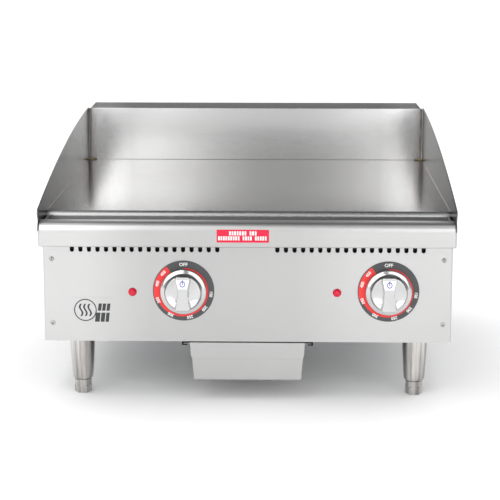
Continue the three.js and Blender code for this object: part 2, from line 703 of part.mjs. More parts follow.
/** Grease drawer: a tapered box with side flanges, and a flap turned down over its front. */
function drawerPiece() {
  const t = DRAWER_SHEET;
  const back = DRAWER_FRONT + DRAWER_LENGTH;
  const rim = DRAWER_RAIL_BOTTOM + DRAWER_SHEET + GAP + DRAWER_SHEET;
  const body = (inset, bottom, top, y0, y1) => alongY([
    [-DRAWER_BOTTOM_HALF + inset, bottom], [DRAWER_BOTTOM_HALF - inset, bottom],
    [DRAWER_TOP_HALF - inset, top], [-DRAWER_TOP_HALF + inset, top],
  ], y0, y1);
  const shell = cut(
    body(0, DRAWER_BOTTOM, rim, DRAWER_FRONT + 3, back),
    body(t, DRAWER_BOTTOM + t, rim + 2, DRAWER_FRONT + 3 + t, back - t));
  const flanges = SIDES.map(([, side]) => {
    const inner = side * (DRAWER_TOP_HALF - t);
    const outer = side * (DRAWER_TOP_HALF + DRAWER_FLANGE);
    return slab([Math.min(inner, outer), DRAWER_FRONT + 3, rim - t], [Math.max(inner, outer), back, rim]);
  });
  const lower = DRAWER_TOP - DRAWER_FLAP;
  const r = 6;
  const half = DRAWER_TOP_HALF;
  const flap = alongY([
    [half, DRAWER_TOP], [-half, DRAWER_TOP], ...arc([-half + 1 + r, lower + r], r, 180, 270, 4),
    ...arc([half - 1 - r, lower + r], r, 270, 360, 4),
  ], DRAWER_FRONT - t, DRAWER_FRONT);
  const cap = slab([-half, DRAWER_FRONT - t, DRAWER_TOP - t - 0.2],
    [half, DRAWER_FRONT + 3 + t, DRAWER_TOP]);
  const web = slab([-half + 2, DRAWER_FRONT + 3, rim - 4], [half - 2, DRAWER_FRONT + 3 + t, DRAWER_TOP]);
  return join(shell, ...flanges, flap, cap, web);
}

/** Drawer rail: a channel under the cabinet floor, open towards the drawer. */
function drawerRailPiece(side) {
  const t = DRAWER_SHEET;
  const top = CABINET_BOTTOM - GAP;
  const outer = DRAWER_RAIL_OUTER;
  const profile = [
    [DRAWER_RAIL_INNER, top], [DRAWER_RAIL_INNER, top - t], [outer - t, top - t],
    [outer - t, DRAWER_RAIL_BOTTOM + t], [DRAWER_RAIL_INNER + 2, DRAWER_RAIL_BOTTOM + t],
    [DRAWER_RAIL_INNER + 2, DRAWER_RAIL_BOTTOM], [outer, DRAWER_RAIL_BOTTOM], [outer, top],
  ];
  const outline = profile.map(([x, z]) => [side * x, z]);
  return alongY(side > 0 ? outline.reverse() : outline, PANEL_FRONT + 1, PANEL_FRONT + DRAWER_LENGTH);
}

// ------------------------------------------------------------- legs and feet

/** Leg: a tapered hollow casting with a stud on top. */
function legPiece() {
  const top = CABINET_BOTTOM - GAP;
  const bore = FOOT_STEM_RADIUS + GAP;
  const sleeve = new THREE.QuadraticBezierCurve(
    new THREE.Vector2(LEG_BOTTOM_RADIUS, LEG_BOTTOM), new THREE.Vector2(LEG_TOP_RADIUS - 0.3, 60),
    new THREE.Vector2(LEG_TOP_RADIUS, top)).getPoints(4).map((p) => [p.x, p.y]);
  return turned([
    [0, FOOT_STEM_TOP + 4], [bore, FOOT_STEM_TOP + 4], [bore, LEG_BOTTOM], ...sleeve,
    [STUD_RADIUS, top], [STUD_RADIUS, top + 18], [0, top + 18],
  ], ROUND);
}

/** Foot: a hexagonal base under a round collar, with a stem that screws up into the leg. */
function footPiece() {
  const stem = turned([
    [0, 2], [FOOT_RADIUS - 1, 2], [FOOT_RADIUS - 1, FOOT_HEX_HEIGHT], [FOOT_RADIUS, FOOT_HEX_HEIGHT],
    [FOOT_RADIUS, LEG_BOTTOM - GAP], [FOOT_STEM_RADIUS, LEG_BOTTOM - GAP],
    [FOOT_STEM_RADIUS, FOOT_STEM_TOP], [0, FOOT_STEM_TOP],
  ], ROUND);
  const hex = upZ(arc([0, 0], FOOT_RADIUS + 0.6, 0, 300, 5), 0, FOOT_HEX_HEIGHT);
  return join(stem, hex);
}

// ------------------------------------------------------------------ assembly

function addCookingTop() {
  add('griddle_plate', platePiece(), polishedPlate());
  add('splash_left', guardPiece(), splashSteel(), [-HALF_WIDTH, 0, 0]);
  add('splash_right', guardPiece(), splashSteel(), [HALF_WIDTH - SPLASH_SHEET, 0, 0]);
  add('splash_rear', rearSplashPiece(), splashSteel());
  add('grease_trough', troughPiece(), brushedSteel());
  add('grease_chute', chutePiece(), brushedSteel());
  add('front_rail', frontRailPiece(), brushedSteel());
}

function addCabinet() {
  add('control_panel', controlPanelPiece(), brushedSteel());
  add('side_panel_left', sidePanelPiece(-1), brushedSteel());
  add('side_panel_right', sidePanelPiece(1), brushedSteel());
  add('rear_panel', rearPanelPiece(), galvanised());
  add('bottom_pan', bottomPanPiece(), galvanised());
  const under = SHIELD_BOTTOM - GAP;
  add('crossmember_front', crossMemberPiece(), galvanised(), [0, SHIELD_FRONT + 30, under]);
  add('crossmember_rear', crossMemberPiece(), galvanised(), [0, SHIELD_BACK - 30, under]);
  for (const [side, sign] of SIDES) {
    add(`drawer_rail_${side}`, drawerRailPiece(sign), darkSteel());
  }
}

function addHeating() {
  for (const [side] of SIDES) {
    add(`heating_element_${side}`, elementPiece(), darkSteel(), [ZONE_X[side], 0, ELEMENT_Z]);
    add(`sensing_bulb_${side}`, sensingBulbPiece(side), copper());
  }
  const clampTop = ELEMENT_Z - ELEMENT_RADIUS - GAP;
  add('element_clamp_front', clampPiece(), galvanised(), [0, 300, clampTop]);
  add('element_clamp_rear', clampPiece(), galvanised(), [0, 500, clampTop]);
  add('heat_shield', heatShieldPiece(), galvanised());
  add('insulation_blanket', insulationPiece(), mineralWool());
}

function addControls() {
  for (const [side] of SIDES) {
    const x = THERMOSTAT_X[side];
    const pilotX = x - PILOT_OFFSET;
    add(`thermostat_${side}`, thermostatPiece(), blackPlastic(), [x, 0, KNOB_Z]);
    add(`thermostat_shaft_${side}`, shaftPiece(), screwSteel(), [x, 0, KNOB_Z]);
    add(`dial_plate_${side}`, dialPiece(), dialPrint(), [x, PANEL_FRONT, KNOB_Z]);
    add(`knob_${side}`, knobPiece(), chrome(), [x, PANEL_FRONT, KNOB_Z]);
    add(`pilot_lens_${side}`, pilotLensPiece(), redLens(), [pilotX, PANEL_FRONT, PILOT_Z]);
    add(`pilot_lamp_${side}`, pilotLampPiece(), blackPlastic(), [pilotX, PANEL_FRONT, PILOT_Z]);
    add(`supply_wire_${side}`, wirePiece(side), wireSleeve());
  }
  add('terminal_block', terminalBlockPiece(), blackPlastic(),
    [INLET_X - 10, 562, CABINET_BOTTOM + SHEET + GAP]);
  add('inlet_bushing', inletPiece(), blackPlastic(), [INLET_X, CABINET_BACK, INLET_Z]);
}

function addTrim() {
  const proud = LABEL_THICKNESS + GAP;
  add('caution_plate', slab(
    [-LABEL_WIDTH / 2, -proud, -LABEL_HEIGHT / 2], [LABEL_WIDTH / 2, -GAP, LABEL_HEIGHT / 2]),
  cautionRed(), [LABEL_X, 0, LABEL_Z]);
  add('badge_plate', slab([-30, -proud, -20], [30, -GAP, 20]), badgeGrey(), [-231, PANEL_FRONT, 140]);
  for (const [side, sign] of SIDES) {
    for (const [row, z] of Object.entries(SCREW_ROWS)) {
      add(`panel_screw_${row}_${side}`, screwPiece(), screwSteel(), [sign * SCREW_X, PANEL_FRONT, z]);
      add(`rear_screw_${row}_${side}`, screwPiece().rotateZ(Math.PI), screwSteel(),
        [sign * SCREW_X, CABINET_BACK, z]);
    }
  }
}

function addLegs() {
  for (const [end, y] of [['front', LEG_FRONT], ['rear', LEG_BACK]]) {
    for (const [side, sign] of SIDES) {
      add(`leg_${end}_${side}`, legPiece(), castAlloy(), [sign * LEG_X, y, 0]);
      add(`foot_${end}_${side}`, footPiece(), castAlloy(), [sign * LEG_X, y, 0]);
    }
  }
}

addCookingTop();
addCabinet();
addHeating();
addControls();
addTrim();
add('grease_drawer', drawerPiece(), brushedSteel());
addLegs();

const FRONT_MOST = -LABEL_THICKNESS - GAP;
const REAR_MOST = CABINET_BACK + INLET_PROUD;
model.position.y = -(FRONT_MOST + REAR_MOST) / 2;

export default model;
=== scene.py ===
"""Countertop flat top griddle: looks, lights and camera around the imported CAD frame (metres)."""
import math
import random

import bmesh
import bpy
from mathutils import Matrix, Vector

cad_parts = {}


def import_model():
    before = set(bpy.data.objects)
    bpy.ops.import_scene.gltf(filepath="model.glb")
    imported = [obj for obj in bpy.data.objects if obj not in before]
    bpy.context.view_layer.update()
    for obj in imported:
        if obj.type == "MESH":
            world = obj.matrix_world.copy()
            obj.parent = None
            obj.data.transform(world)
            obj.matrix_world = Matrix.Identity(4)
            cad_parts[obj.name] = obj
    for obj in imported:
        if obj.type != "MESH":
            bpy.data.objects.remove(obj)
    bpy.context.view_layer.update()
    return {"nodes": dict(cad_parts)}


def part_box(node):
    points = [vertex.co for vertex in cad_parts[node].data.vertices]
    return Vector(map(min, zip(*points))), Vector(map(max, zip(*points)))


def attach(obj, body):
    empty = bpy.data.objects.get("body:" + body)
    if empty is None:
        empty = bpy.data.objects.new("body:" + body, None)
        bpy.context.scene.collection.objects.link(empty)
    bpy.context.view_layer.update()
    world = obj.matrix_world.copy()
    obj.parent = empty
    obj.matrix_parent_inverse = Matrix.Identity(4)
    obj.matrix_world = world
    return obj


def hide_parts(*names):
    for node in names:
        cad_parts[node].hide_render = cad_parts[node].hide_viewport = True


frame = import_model()
MM = 0.001
SHEET = 1.5 * MM
NODES = frame["nodes"]
GAP = 0.3 * MM  # left between pieces that touch
BULLNOSE = 12.7 * MM
RAIL_SEAM = 268.3 * MM  # where the rail's bullnose part meets its band
SPLASH_LIP_RISE = 9 * MM
PANEL_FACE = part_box("control_panel")[0].y
REMAP_LIMITS = ("From Min", "From Max", "To Min", "To Max")


# ---------------------------------------------------------------- node trees

class Tree:
    """A small helper for writing material node trees."""

    def __init__(self, name):
        self.material = bpy.data.materials.new(name)
        self.material.use_nodes = True
        self.tree = self.material.node_tree
        self.nodes = self.tree.nodes
        self.shader = self.nodes["Principled BSDF"]
        self.output = self.nodes["Material Output"]

    def add(self, kind, **values):
        node = self.nodes.new(kind)
        for key, value in values.items():
            setattr(node, key, value)
        return node

    def link(self, source, target):
        self.tree.links.new(source, target)

    def set(self, **values):
        """Sets constant values on the shader's own sockets; _ stands for a space."""
        for key, value in values.items():
            self.shader.inputs[key.replace("_", " ")].default_value = value

    def coordinates(self, scale=(1, 1, 1)):
        place = self.add("ShaderNodeTexCoord")
        mapping = self.add("ShaderNodeMapping")
        mapping.inputs["Scale"].default_value = scale
        self.link(place.outputs["Object"], mapping.inputs["Vector"])
        return mapping.outputs["Vector"]

    def noise(self, vector, scale, detail=4.0, rough=0.6):
        node = self.add("ShaderNodeTexNoise")
        node.inputs["Scale"].default_value = scale
        node.inputs["Detail"].default_value = detail
        node.inputs["Roughness"].default_value = rough
        self.link(vector, node.inputs["Vector"])
        return node.outputs["Fac"]

    def remap(self, value, low, high, to_low, to_high):
        node = self.add("ShaderNodeMapRange")
        for key, number in zip(REMAP_LIMITS, (low, high, to_low, to_high)):
            node.inputs[key].default_value = number
        self.link(value, node.inputs["Value"])
        return node.outputs["Result"]

    def ramp(self, value, *stops):
        """Colour ramp through (position, colour) stops."""
        node = self.add("ShaderNodeValToRGB")
        band = node.color_ramp
        while len(band.elements) < len(stops):
            band.elements.new(0.5)
        for element, (position, colour) in zip(band.elements, stops):
            element.position = position
            element.color = (*colour, 1)
        self.link(value, node.inputs["Fac"])
        return node.outputs["Color"]

    def mix(self, factor, first, second, blend="MIX"):
        node = self.add("ShaderNodeMix", data_type="RGBA", blend_type=blend)
        for socket, value in ((0, factor), (6, first), (7, second)):
            if isinstance(value, bpy.types.NodeSocket):
                self.link(value, node.inputs[socket])
            else:
                node.inputs[socket].default_value = value if socket == 0 else (*value, 1)
        return node.outputs[2]

    def maths(self, operation, first, second=0.0):
        node = self.add("ShaderNodeMath", operation=operation)
        for socket, value in ((0, first), (1, second)):
            if isinstance(value, bpy.types.NodeSocket):
                self.link(value, node.inputs[socket])
            else:
                node.inputs[socket].default_value = value
        return node.outputs[0]

    def bump(self, height, strength, distance):
        node = self.add("ShaderNodeBump")
        node.inputs["Strength"].default_value = strength
        node.inputs["Distance"].default_value = distance
        self.link(height, node.inputs["Height"])
        self.link(node.outputs["Normal"], self.shader.inputs["Normal"])

    def axis(self, name):
        """One object coordinate in metres."""
        split = self.add("ShaderNodeSeparateXYZ")
        self.link(self.coordinates(), split.inputs["Vector"])
        return split.outputs[name]

    def tint(self, mask, tint):
        """Multiplies the colour by a tint where the mask is 1."""
        base = self.shader.inputs["Base Color"].links[0].from_socket
        self.colour(self.mix(mask, base, self.mix(1.0, base, tint, "MULTIPLY")))

    def tint_corners(self, start, end, tint):
        """Cloudy tint that sets in where the distance from x = 0 passes start."""
        near = self.remap(self.maths("ABSOLUTE", self.axis("X")), start, end, 0, 1)
        cloud = self.remap(self.noise(self.coordinates((1, 1, 0.5)), 25, 4, 0.6), 0.3, 0.7, 0.55, 1)
        self.tint(self.maths("MULTIPLY", near, cloud), tint)

    def colour(self, socket):
        self.link(socket, self.shader.inputs["Base Color"])

    def roughness(self, socket):
        self.link(socket, self.shader.inputs["Roughness"])


def grey(value):
    return (value, value, value * 0.995)


def brushed_metal(name, tone, rough, grain, bump=0.12):
    """Metal with fine parallel scratches; grain stretches the noise along the brushing."""
    streak = 0.02
    swing = 0.05
    t = Tree(name)
    t.set(Metallic=1.0)
    fine = t.noise(t.coordinates(grain), 60, 3, 0.7)
    broad = t.noise(t.coordinates(), 5, 3, 0.5)
    base = t.ramp(fine, (0.3, (tone - streak,) * 3), (0.7, (tone + streak,) * 3))
    cloud = t.ramp(broad, (0.3, (0.95, 0.95, 0.95)), (0.7, (1, 1, 1)))
    t.colour(t.mix(1.0, base, cloud, "MULTIPLY"))
    t.roughness(t.remap(fine, 0.25, 0.75, rough - swing, rough + swing))
    t.bump(fine, bump, 0.00012)
    return t


ALONG_X = (1.2, 60, 60)
ALONG_Y = (60, 1.2, 60)
ALONG_Z = (60, 60, 1.2)


def cabinet_steel():
    """Brushed front sheet with a painted reflection: darker across its middle, brighter towards its ends.
    """
    t = brushed_metal("cabinet_steel", 0.6, 0.32, ALONG_X)
    # Painted reflection: the colour is darkened across the middle and kept bright towards the ends.
    across = t.remap(t.axis("X"), -0.3, 0.3, 0, 1)
    painted_reflection = t.ramp(across, (0.1, grey(1.0)), (0.26, grey(0.83)), (0.62, grey(0.83)), (0.76, grey(0.95)))
    t.tint(1.0, painted_reflection)
    return t.material


def trough_steel():
    """Trough sheet; the face behind the vents is painted near-black, as painted shade seen through the
    vent slots.
    """
    t = brushed_metal("trough_steel", 0.6, 0.35, ALONG_X)
    wall_to_plate = 24 * MM
    slope_start = 255 * MM
    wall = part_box("griddle_plate")[0].y - wall_to_plate
    outside = t.remap(t.axis("Y"), wall, wall + 0.4 * MM, 1, 0)
    below_slope = t.remap(t.axis("Z"), slope_start, slope_start + MM, 1, 0)
    # Painted shade: the wall in front of the plate, below the slope, is darkened to near black.
    t.tint(t.maths("MULTIPLY", outside, below_slope), grey(0.06))
    return t.material


def side_steel():
    return brushed_metal("side_steel", 0.6, 0.34, ALONG_Y).material


def splash_steel():
    """Rear splash, brighter towards its ends as a painted highlight, and browned by heat beside the
    corner welds.
    """
    t = brushed_metal("splash_steel", 0.61, 0.18, ALONG_X, bump=0.06)
    # Painted highlight: the colour is lifted towards the sheet's ends.
    t.tint_corners(0.225, 0.265, (1.35, 1.35, 1.35))
    t.tint_corners(0.287, 0.301, (0.6, 0.55, 0.52))
    return t.material


def guard_steel(side, tone):
    """Side guard with painted shade: darker towards its low front end."""
    t = brushed_metal(f"guard_steel_{side}", tone, 0.2, ALONG_Y, bump=0.06)
    # Painted shade: the colour is darkened towards the low front end of the guard.
    shade_full_until, shade_clear_from = -0.27, 0.18
    t.tint(t.remap(t.axis("Y"), shade_full_until, shade_clear_from, 1, 0), grey(0.22))
    t.set(Specular_Tint=(0.7, 0.7, 0.7, 1))
    return t.material


def galvanised():
    """Dull zinc with soft crystal patches."""
    t = Tree("galvanised")
    t.set(Metallic=1.0)
    cells = t.add("ShaderNodeTexVoronoi", feature="F1")
    cells.inputs["Scale"].default_value = 60
    t.link(t.coordinates(), cells.inputs["Vector"])
    patch = t.ramp(cells.outputs["Color"], (0.0, (0.42, 0.43, 0.44)), (1.0, (0.58, 0.59, 0.6)))
    t.colour(patch)
    t.roughness(t.remap(t.noise(t.coordinates(), 90), 0.3, 0.7, 0.42, 0.58))
    return t.material


def plate_steel():
    """Ground cooking plate: fine cross-hatch grinding and a faint heat tint at the back corners."""
    t = Tree("plate_steel")
    t.set(Metallic=1.0)
    grind = t.noise(t.coordinates(ALONG_X), 50, 3, 0.7)
    cross = t.noise(t.coordinates(ALONG_Y), 30, 2, 0.5)
    cloud = t.noise(t.coordinates((2, 1, 1)), 4, 4, 0.55)
    base = t.ramp(grind, (0.3, (0.49, 0.485, 0.48)), (0.7, (0.56, 0.555, 0.55)))
    tint = t.ramp(cloud, (0.35, (0.93, 0.92, 0.9)), (0.65, (1, 1, 1)))
    t.colour(t.mix(1.0, base, tint, "MULTIPLY"))
    t.tint_corners(0.235, 0.3, (0.58, 0.55, 0.53))
    t.roughness(t.remap(t.maths("MULTIPLY", grind, cross), 0.1, 0.45, 0.12, 0.2))
    t.bump(grind, 0.06, 0.0001)
    return t.material


def edge_steel():
    """The plate's rounded front edge, as machined: rougher than its ground top, and darker in colour as
    painted shade.
    """
    # Painted shade: the edge's tone is set darker than the plate's.
    return brushed_metal("edge_steel", 0.4, 0.26, ALONG_X, bump=0.06).material


def chrome():
    t = Tree("chrome")
    t.set(Metallic=1.0)
    haze = t.noise(t.coordinates(), 30, 4, 0.6)
    t.colour(t.ramp(haze, (0.3, (0.57, 0.57, 0.575)), (0.7, (0.63, 0.63, 0.635))))
    t.roughness(t.remap(haze, 0.3, 0.7, 0.12, 0.19))
    return t.material


def cast_alloy():
    t = Tree("leg_alloy")
    t.set(Metallic=1.0)
    grain = t.noise(t.coordinates((1, 1, 0.4)), 220, 4, 0.6)
    streak = t.noise(t.coordinates((1, 1, 0.03)), 110, 3, 0.6)
    base = t.ramp(streak, (0.36, (0.3, 0.285, 0.275)), (0.62, (0.7, 0.68, 0.665)))
    t.colour(t.mix(1.0, base, t.ramp(grain, (0.3, (0.9, 0.9, 0.9)), (0.7, (1, 1, 1))), "MULTIPLY"))
    t.roughness(t.remap(grain, 0.3, 0.7, 0.15, 0.22))
    t.bump(grain, 0.02, 0.0001)
    return t.material


def dark_steel():
    t = Tree("dark_steel")
    t.set(Metallic=0.6)
    scale = t.noise(t.coordinates(), 120, 4, 0.7)
    t.colour(t.ramp(scale, (0.3, (0.012, 0.012, 0.012)), (0.7, (0.03, 0.029, 0.028))))
    t.roughness(t.remap(scale, 0.3, 0.7, 0.45, 0.65))
    return t.material


def screw_steel():
    t = Tree("screw_steel")
    t.set(Metallic=1.0)
    grain = t.noise(t.coordinates(), 400, 3, 0.6)
    t.colour(t.ramp(grain, (0.3, (0.42, 0.42, 0.42)), (0.7, (0.52, 0.52, 0.52))))
    t.roughness(t.remap(grain, 0.3, 0.7, 0.28, 0.4))
    return t.material


def weld_metal_and_recess_shade():
    """Ground weld: darker, browner where the heat reached. Also the dark fill of the screw recesses, as
    painted shade.
    """
    t = Tree("weld_metal_and_recess_shade")
    t.set(Metallic=1.0)
    spots = t.noise(t.coordinates(), 70, 4, 0.7)
    t.colour(t.ramp(spots, (0.35, (0.13, 0.12, 0.11)), (0.6, (0.24, 0.23, 0.22))))
    t.roughness(t.remap(spots, 0.3, 0.7, 0.35, 0.5))
    t.bump(spots, 0.3, 0.0006)
    return t.material


def burnt_weld():
    t = Tree("burnt_weld")
    t.set(Metallic=0.8)
    spots = t.noise(t.coordinates(), 260, 4, 0.7)
    t.colour(t.ramp(spots, (0.35, (0.1, 0.08, 0.04)), (0.65, (0.42, 0.36, 0.26))))
    t.roughness(t.remap(spots, 0.3, 0.7, 0.4, 0.6))
    t.bump(spots, 0.4, 0.0006)
    return t.material


def plastic(name, colour, rough, speckle=0.15):
    t = Tree(name)
    grain = t.noise(t.coordinates(), 500, 3, 0.6)
    low = tuple(c * (1 - speckle) for c in colour)
    high = tuple(min(1, c * (1 + speckle)) for c in colour)
    t.colour(t.ramp(grain, (0.3, low), (0.7, high)))
    t.roughness(t.remap(grain, 0.3, 0.7, rough - 0.05, rough + 0.05))
    t.bump(grain, 0.04, 0.0001)
    return t.material


def red_lens():
    """Clear red moulding, slightly uneven in depth of colour."""
    t = Tree("red_lens")
    t.set(Coat_Weight=0.2, Coat_Roughness=0.05, Specular_IOR_Level=0.3)
    cloud = t.noise(t.coordinates(), 300, 2, 0.5)
    t.colour(t.ramp(cloud, (0.3, (0.5, 0.004, 0.025)), (0.7, (0.62, 0.01, 0.04))))
    t.roughness(t.remap(cloud, 0.3, 0.7, 0.12, 0.2))
    return t.material


def mineral_wool():
    t = Tree("mineral_wool")
    fibre = t.noise(t.coordinates((3, 1, 1)), 160, 6, 0.75)
    t.colour(t.ramp(fibre, (0.3, (0.42, 0.38, 0.26)), (0.7, (0.62, 0.57, 0.43))))
    t.roughness(t.remap(fibre, 0.3, 0.7, 0.85, 0.98))
    t.bump(fibre, 0.6, 0.002)
    return t.material


def wire_sleeve():
    t = Tree("wire_sleeve")
    weave = t.add("ShaderNodeTexWave", wave_type="BANDS", bands_direction="DIAGONAL")
    weave.inputs["Scale"].default_value = 400
    t.link(t.coordinates(), weave.inputs["Vector"])
    t.colour(t.ramp(weave.outputs["Fac"], (0.2, (0.45, 0.42, 0.35)), (0.8, (0.66, 0.62, 0.54))))
    t.roughness(t.remap(weave.outputs["Fac"], 0, 1, 0.6, 0.8))
    t.bump(weave.outputs["Fac"], 0.3, 0.0003)
    return t.material


def copper():
    t = Tree("copper")
    t.set(Metallic=1.0)
    tarnish = t.noise(t.coordinates(), 60, 4, 0.6)
    t.colour(t.ramp(tarnish, (0.3, (0.4, 0.2, 0.11)), (0.7, (0.72, 0.4, 0.26))))
    t.roughness(t.remap(tarnish, 0.3, 0.7, 0.25, 0.42))
    return t.material


def element_sheath():
    t = Tree("element_sheath")
    t.set(Metallic=0.9)
    heat = t.noise(t.coordinates((1, 0.4, 1)), 18, 4, 0.6)
    t.colour(t.ramp(heat, (0.3, (0.1, 0.085, 0.075)), (0.7, (0.2, 0.19, 0.185))))
    t.roughness(t.remap(heat, 0.3, 0.7, 0.4, 0.6))
    return t.material


STEEL = cabinet_steel()
TROUGH_STEEL = trough_steel()
SIDE_STEEL = side_steel()
SPLASH_STEEL = splash_steel()
# The left guard's lighter tone and the right guard's darker tone are painted light and shade on one and
# the same steel.
GUARD_STEEL_PAINTED_SHADE = {"left": guard_steel("left", 0.66), "right": guard_steel("right", 0.54)}
ZINC = galvanised()
PLATE = plate_steel()
PLATE_EDGE = edge_steel()
CHROME = chrome()
ALLOY = cast_alloy()
DARK = dark_steel()
SCREW = screw_steel()
WELD_AND_RECESS_SHADE = weld_metal_and_recess_shade()
BURNT = burnt_weld()
BLACK = plastic("black_plastic", (0.012, 0.012, 0.013), 0.45)
DIAL_BLACK = plastic("dial_black", (0.055, 0.057, 0.06), 0.4, 0.06)
DIAL_RED = plastic("dial_red", (0.74, 0.03, 0.028), 0.5, 0.05)
PRINT_WHITE = plastic("print_white", (0.82, 0.83, 0.83), 0.4, 0.03)
CAUTION = plastic("caution_red", (0.6, 0.0, 0.035), 0.5, 0.05)
BADGE = plastic("badge_dark", (0.03, 0.031, 0.033), 0.5, 0.08)
LENS = red_lens()
PAD_WHITE = plastic("pad_white", (0.8, 0.81, 0.83), 0.3, 0.03)
INDEX_BLUE = plastic("index_blue", (0.06, 0.06, 0.35), 0.4, 0.05)


# ------------------------------------------------------------ mesh utilities

def finish_mesh(name, bm, material, body, smooth=30, bevel=0.0, replaced=()):
    """Turns a bmesh into a piece that rides on a body and takes a material."""
    bmesh.ops.recalc_face_normals(bm, faces=bm.faces)
    mesh = bpy.data.meshes.new(name)
    bm.to_mesh(mesh)
    bm.free()
    piece = bpy.data.objects.new(name, mesh)
    bpy.context.scene.collection.objects.link(piece)
    for each in (material if isinstance(material, (list, tuple)) else [material]):
        mesh.materials.append(each)
    mesh.polygons.foreach_set("use_smooth", [True] * len(mesh.polygons))
    mesh.set_sharp_from_angle(angle=math.radians(smooth))
    if bevel:
        soften = piece.modifiers.new("soften", "BEVEL")
        soften.width = bevel
        soften.segments = 2
        soften.limit_method = "ANGLE"
        soften.angle_limit = math.radians(35)
        soften.harden_normals = True
    else:
        even = piece.modifiers.new("even_shading", "WEIGHTED_NORMAL")
        even.keep_sharp = True
    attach(piece, body)
    if replaced:
        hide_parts(*replaced)
    return piece


def thicken(piece, thickness, offset=-1.0):
    shell = piece.modifiers.new("thickness", "SOLIDIFY")
    shell.thickness = thickness
    shell.offset = offset
    piece.modifiers.move(len(piece.modifiers) - 1, 0)


def add_grid(bm, rows, closed=False):
    """Quads between rows of points; closed joins each row's end to its start."""
    vertices = [[bm.verts.new(point) for point in row] for row in rows]
    for below, above in zip(vertices, vertices[1:]):
        count = len(below)
        for i in range(count if closed else count - 1):
            j = (i + 1) % count
            bm.faces.new((below[i], below[j], above[j], above[i]))
    return vertices


def add_prism(bm, outline, direction):
    """A closed prism: the outline's points and their copies moved by direction."""
    base = [bm.verts.new(point) for point in outline]
    top = [bm.verts.new(Vector(point) + Vector(direction)) for point in outline]
    bm.faces.new(base)
    bm.faces.new(top)
    for i in range(len(base)):
        j = (i + 1) % len(base)
        bm.faces.new((base[i], base[j], top[j], top[i]))


def add_lathe(bm, profile, origin, axis="Z", segments=64, cap=True):
    """Turns (radius, height) points about an axis through origin."""
    rows = []
    for radius, height in profile:
        row = []
        for i in range(segments):
            angle = 2 * math.pi * i / segments
            u, v = radius * math.cos(angle), radius * math.sin(angle)
            offset = {"Z": (u, v, height), "-Y": (u, -height, v), "Y": (u, height, v)}[axis]
            row.append(Vector(origin) + Vector(offset))
        rows.append(row)
    vertices = add_grid(bm, rows, closed=True)
    if cap:
        bm.faces.new(vertices[0])
        bm.faces.new(vertices[-1])
    return vertices


def arc(centre, radius, start, end, steps):
    """Points of an arc in a plane, angles in degrees."""
    points = []
    for i in range(steps + 1):
        angle = math.radians(start + (end - start) * i / steps)
        points.append((centre[0] + radius * math.cos(angle), centre[1] + radius * math.sin(angle)))
    return points


def box_loop(left, right, bottom, top):
    """Corners of a rectangle in a plane."""
    return [(left, bottom), (right, bottom), (right, top), (left, top)]


def rounded_loop(low, high, radius, steps):
    """(x, z) outline of a box seen from the front, with rounded corners."""
    corners = box_loop(low.x + radius, high.x - radius, low.z + radius, high.z - radius)
    loop = []
    for centre, start in zip(corners, (180, 270, 0, 90)):
        loop += arc(centre, radius, start, start + 90, steps)
    return loop


def smooth_step(t):
    return t * t * (3 - 2 * t)


# -------------------------------------------------------------- the cook top

def griddle_plate():
    """Thick plate with a rounded front edge."""
    low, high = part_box("griddle_plate")
    r = 8 * MM
    edge = arc((low.y + r, high.z - r), r, 90, 180, 12)
    foot = arc((low.y + r * 0.3, low.z + r * 0.3), r * 0.3, 180, 270, 4)
    outline = [(low.x, y, z) for y, z in [(high.y, low.z), (high.y, high.z), *edge, *foot]]
    bm = bmesh.new()
    add_prism(bm, outline, (high.x - low.x, 0, 0))
    for face in bm.faces:
        if face.calc_center_median().y < low.y + r * 0.9:
            face.material_index = 1
    finish_mesh("plate", bm, (PLATE, PLATE_EDGE), "cabinet",
                replaced=["griddle_plate"])


def guard_outline(low, high):
    """(y, z) outline of a side guard, from its back foot round the bowed top to the rail."""
    rail_low, rail_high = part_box("front_rail")
    r = BULLNOSE
    face = rail_low.y
    nose = 6 * MM
    front_top = 300.5 * MM
    sag = 14 * MM
    points = [(high.y, low.z)]
    steps = 40
    for i in range(steps + 1):
        t = 1 - i / steps
        y = face + nose + (high.y - face - nose) * t
        points.append((y, front_top + (high.z - front_top) * t + 4 * sag * t * (1 - t)))
    points += arc((face + nose + 0.6 * MM, front_top - nose), nose, 105, 215, 10)
    points += arc((face + r, rail_high.z - r), r, 112, 180, 12)
    points += [(face, RAIL_SEAM + GAP), (PANEL_FACE, RAIL_SEAM + GAP), (PANEL_FACE, low.z)]
    return points


def side_guard(side):
    node = f"splash_{side}"
    low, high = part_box(node)
    bm = bmesh.new()
    outline = [(low.x, y, z) for y, z in guard_outline(low, high)]
    add_prism(bm, outline, (high.x - low.x, 0, 0))
    finish_mesh(f"guard_{side}", bm, GUARD_STEEL_PAINTED_SHADE[side], "cabinet",
                bevel=0.5 * MM, replaced=[node])


def rear_splash():
    """Upright sheet with a rounded bend and a mitred lip."""
    low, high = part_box("splash_rear")
    thickness = 2 * MM
    lip_depth = 12 * MM
    mitre = 11 * MM
    mitre_at_bend = 0.3
    bend_radius = 0.6 * MM
    bend_start = high.z - SPLASH_LIP_RISE - bend_radius
    slope = math.atan2(SPLASH_LIP_RISE, lip_depth)
    rows = [(low.y, low.z, 0.0), (low.y, bend_start, 0.0)]
    steps = 5
    for i in range(1, steps + 1):
        turn = (math.pi / 2 - slope) * i / steps
        y = low.y + bend_radius * (1 - math.cos(turn))
        rows.append((y, bend_start + bend_radius * math.sin(turn), mitre_at_bend))
    rows.append((low.y + lip_depth, high.z, 1.0))
    bm = bmesh.new()
    grid = []
    for y, z, inset in rows:
        half = high.x - mitre * inset
        grid.append([(-half, y, z), (-half * 0.5, y, z), (half * 0.5, y, z), (half, y, z)])
    add_grid(bm, grid)
    piece = finish_mesh("back_splash", bm, SPLASH_STEEL, "cabinet", bevel=0.3 * MM,
                        replaced=["splash_rear"])
    thicken(piece, thickness)


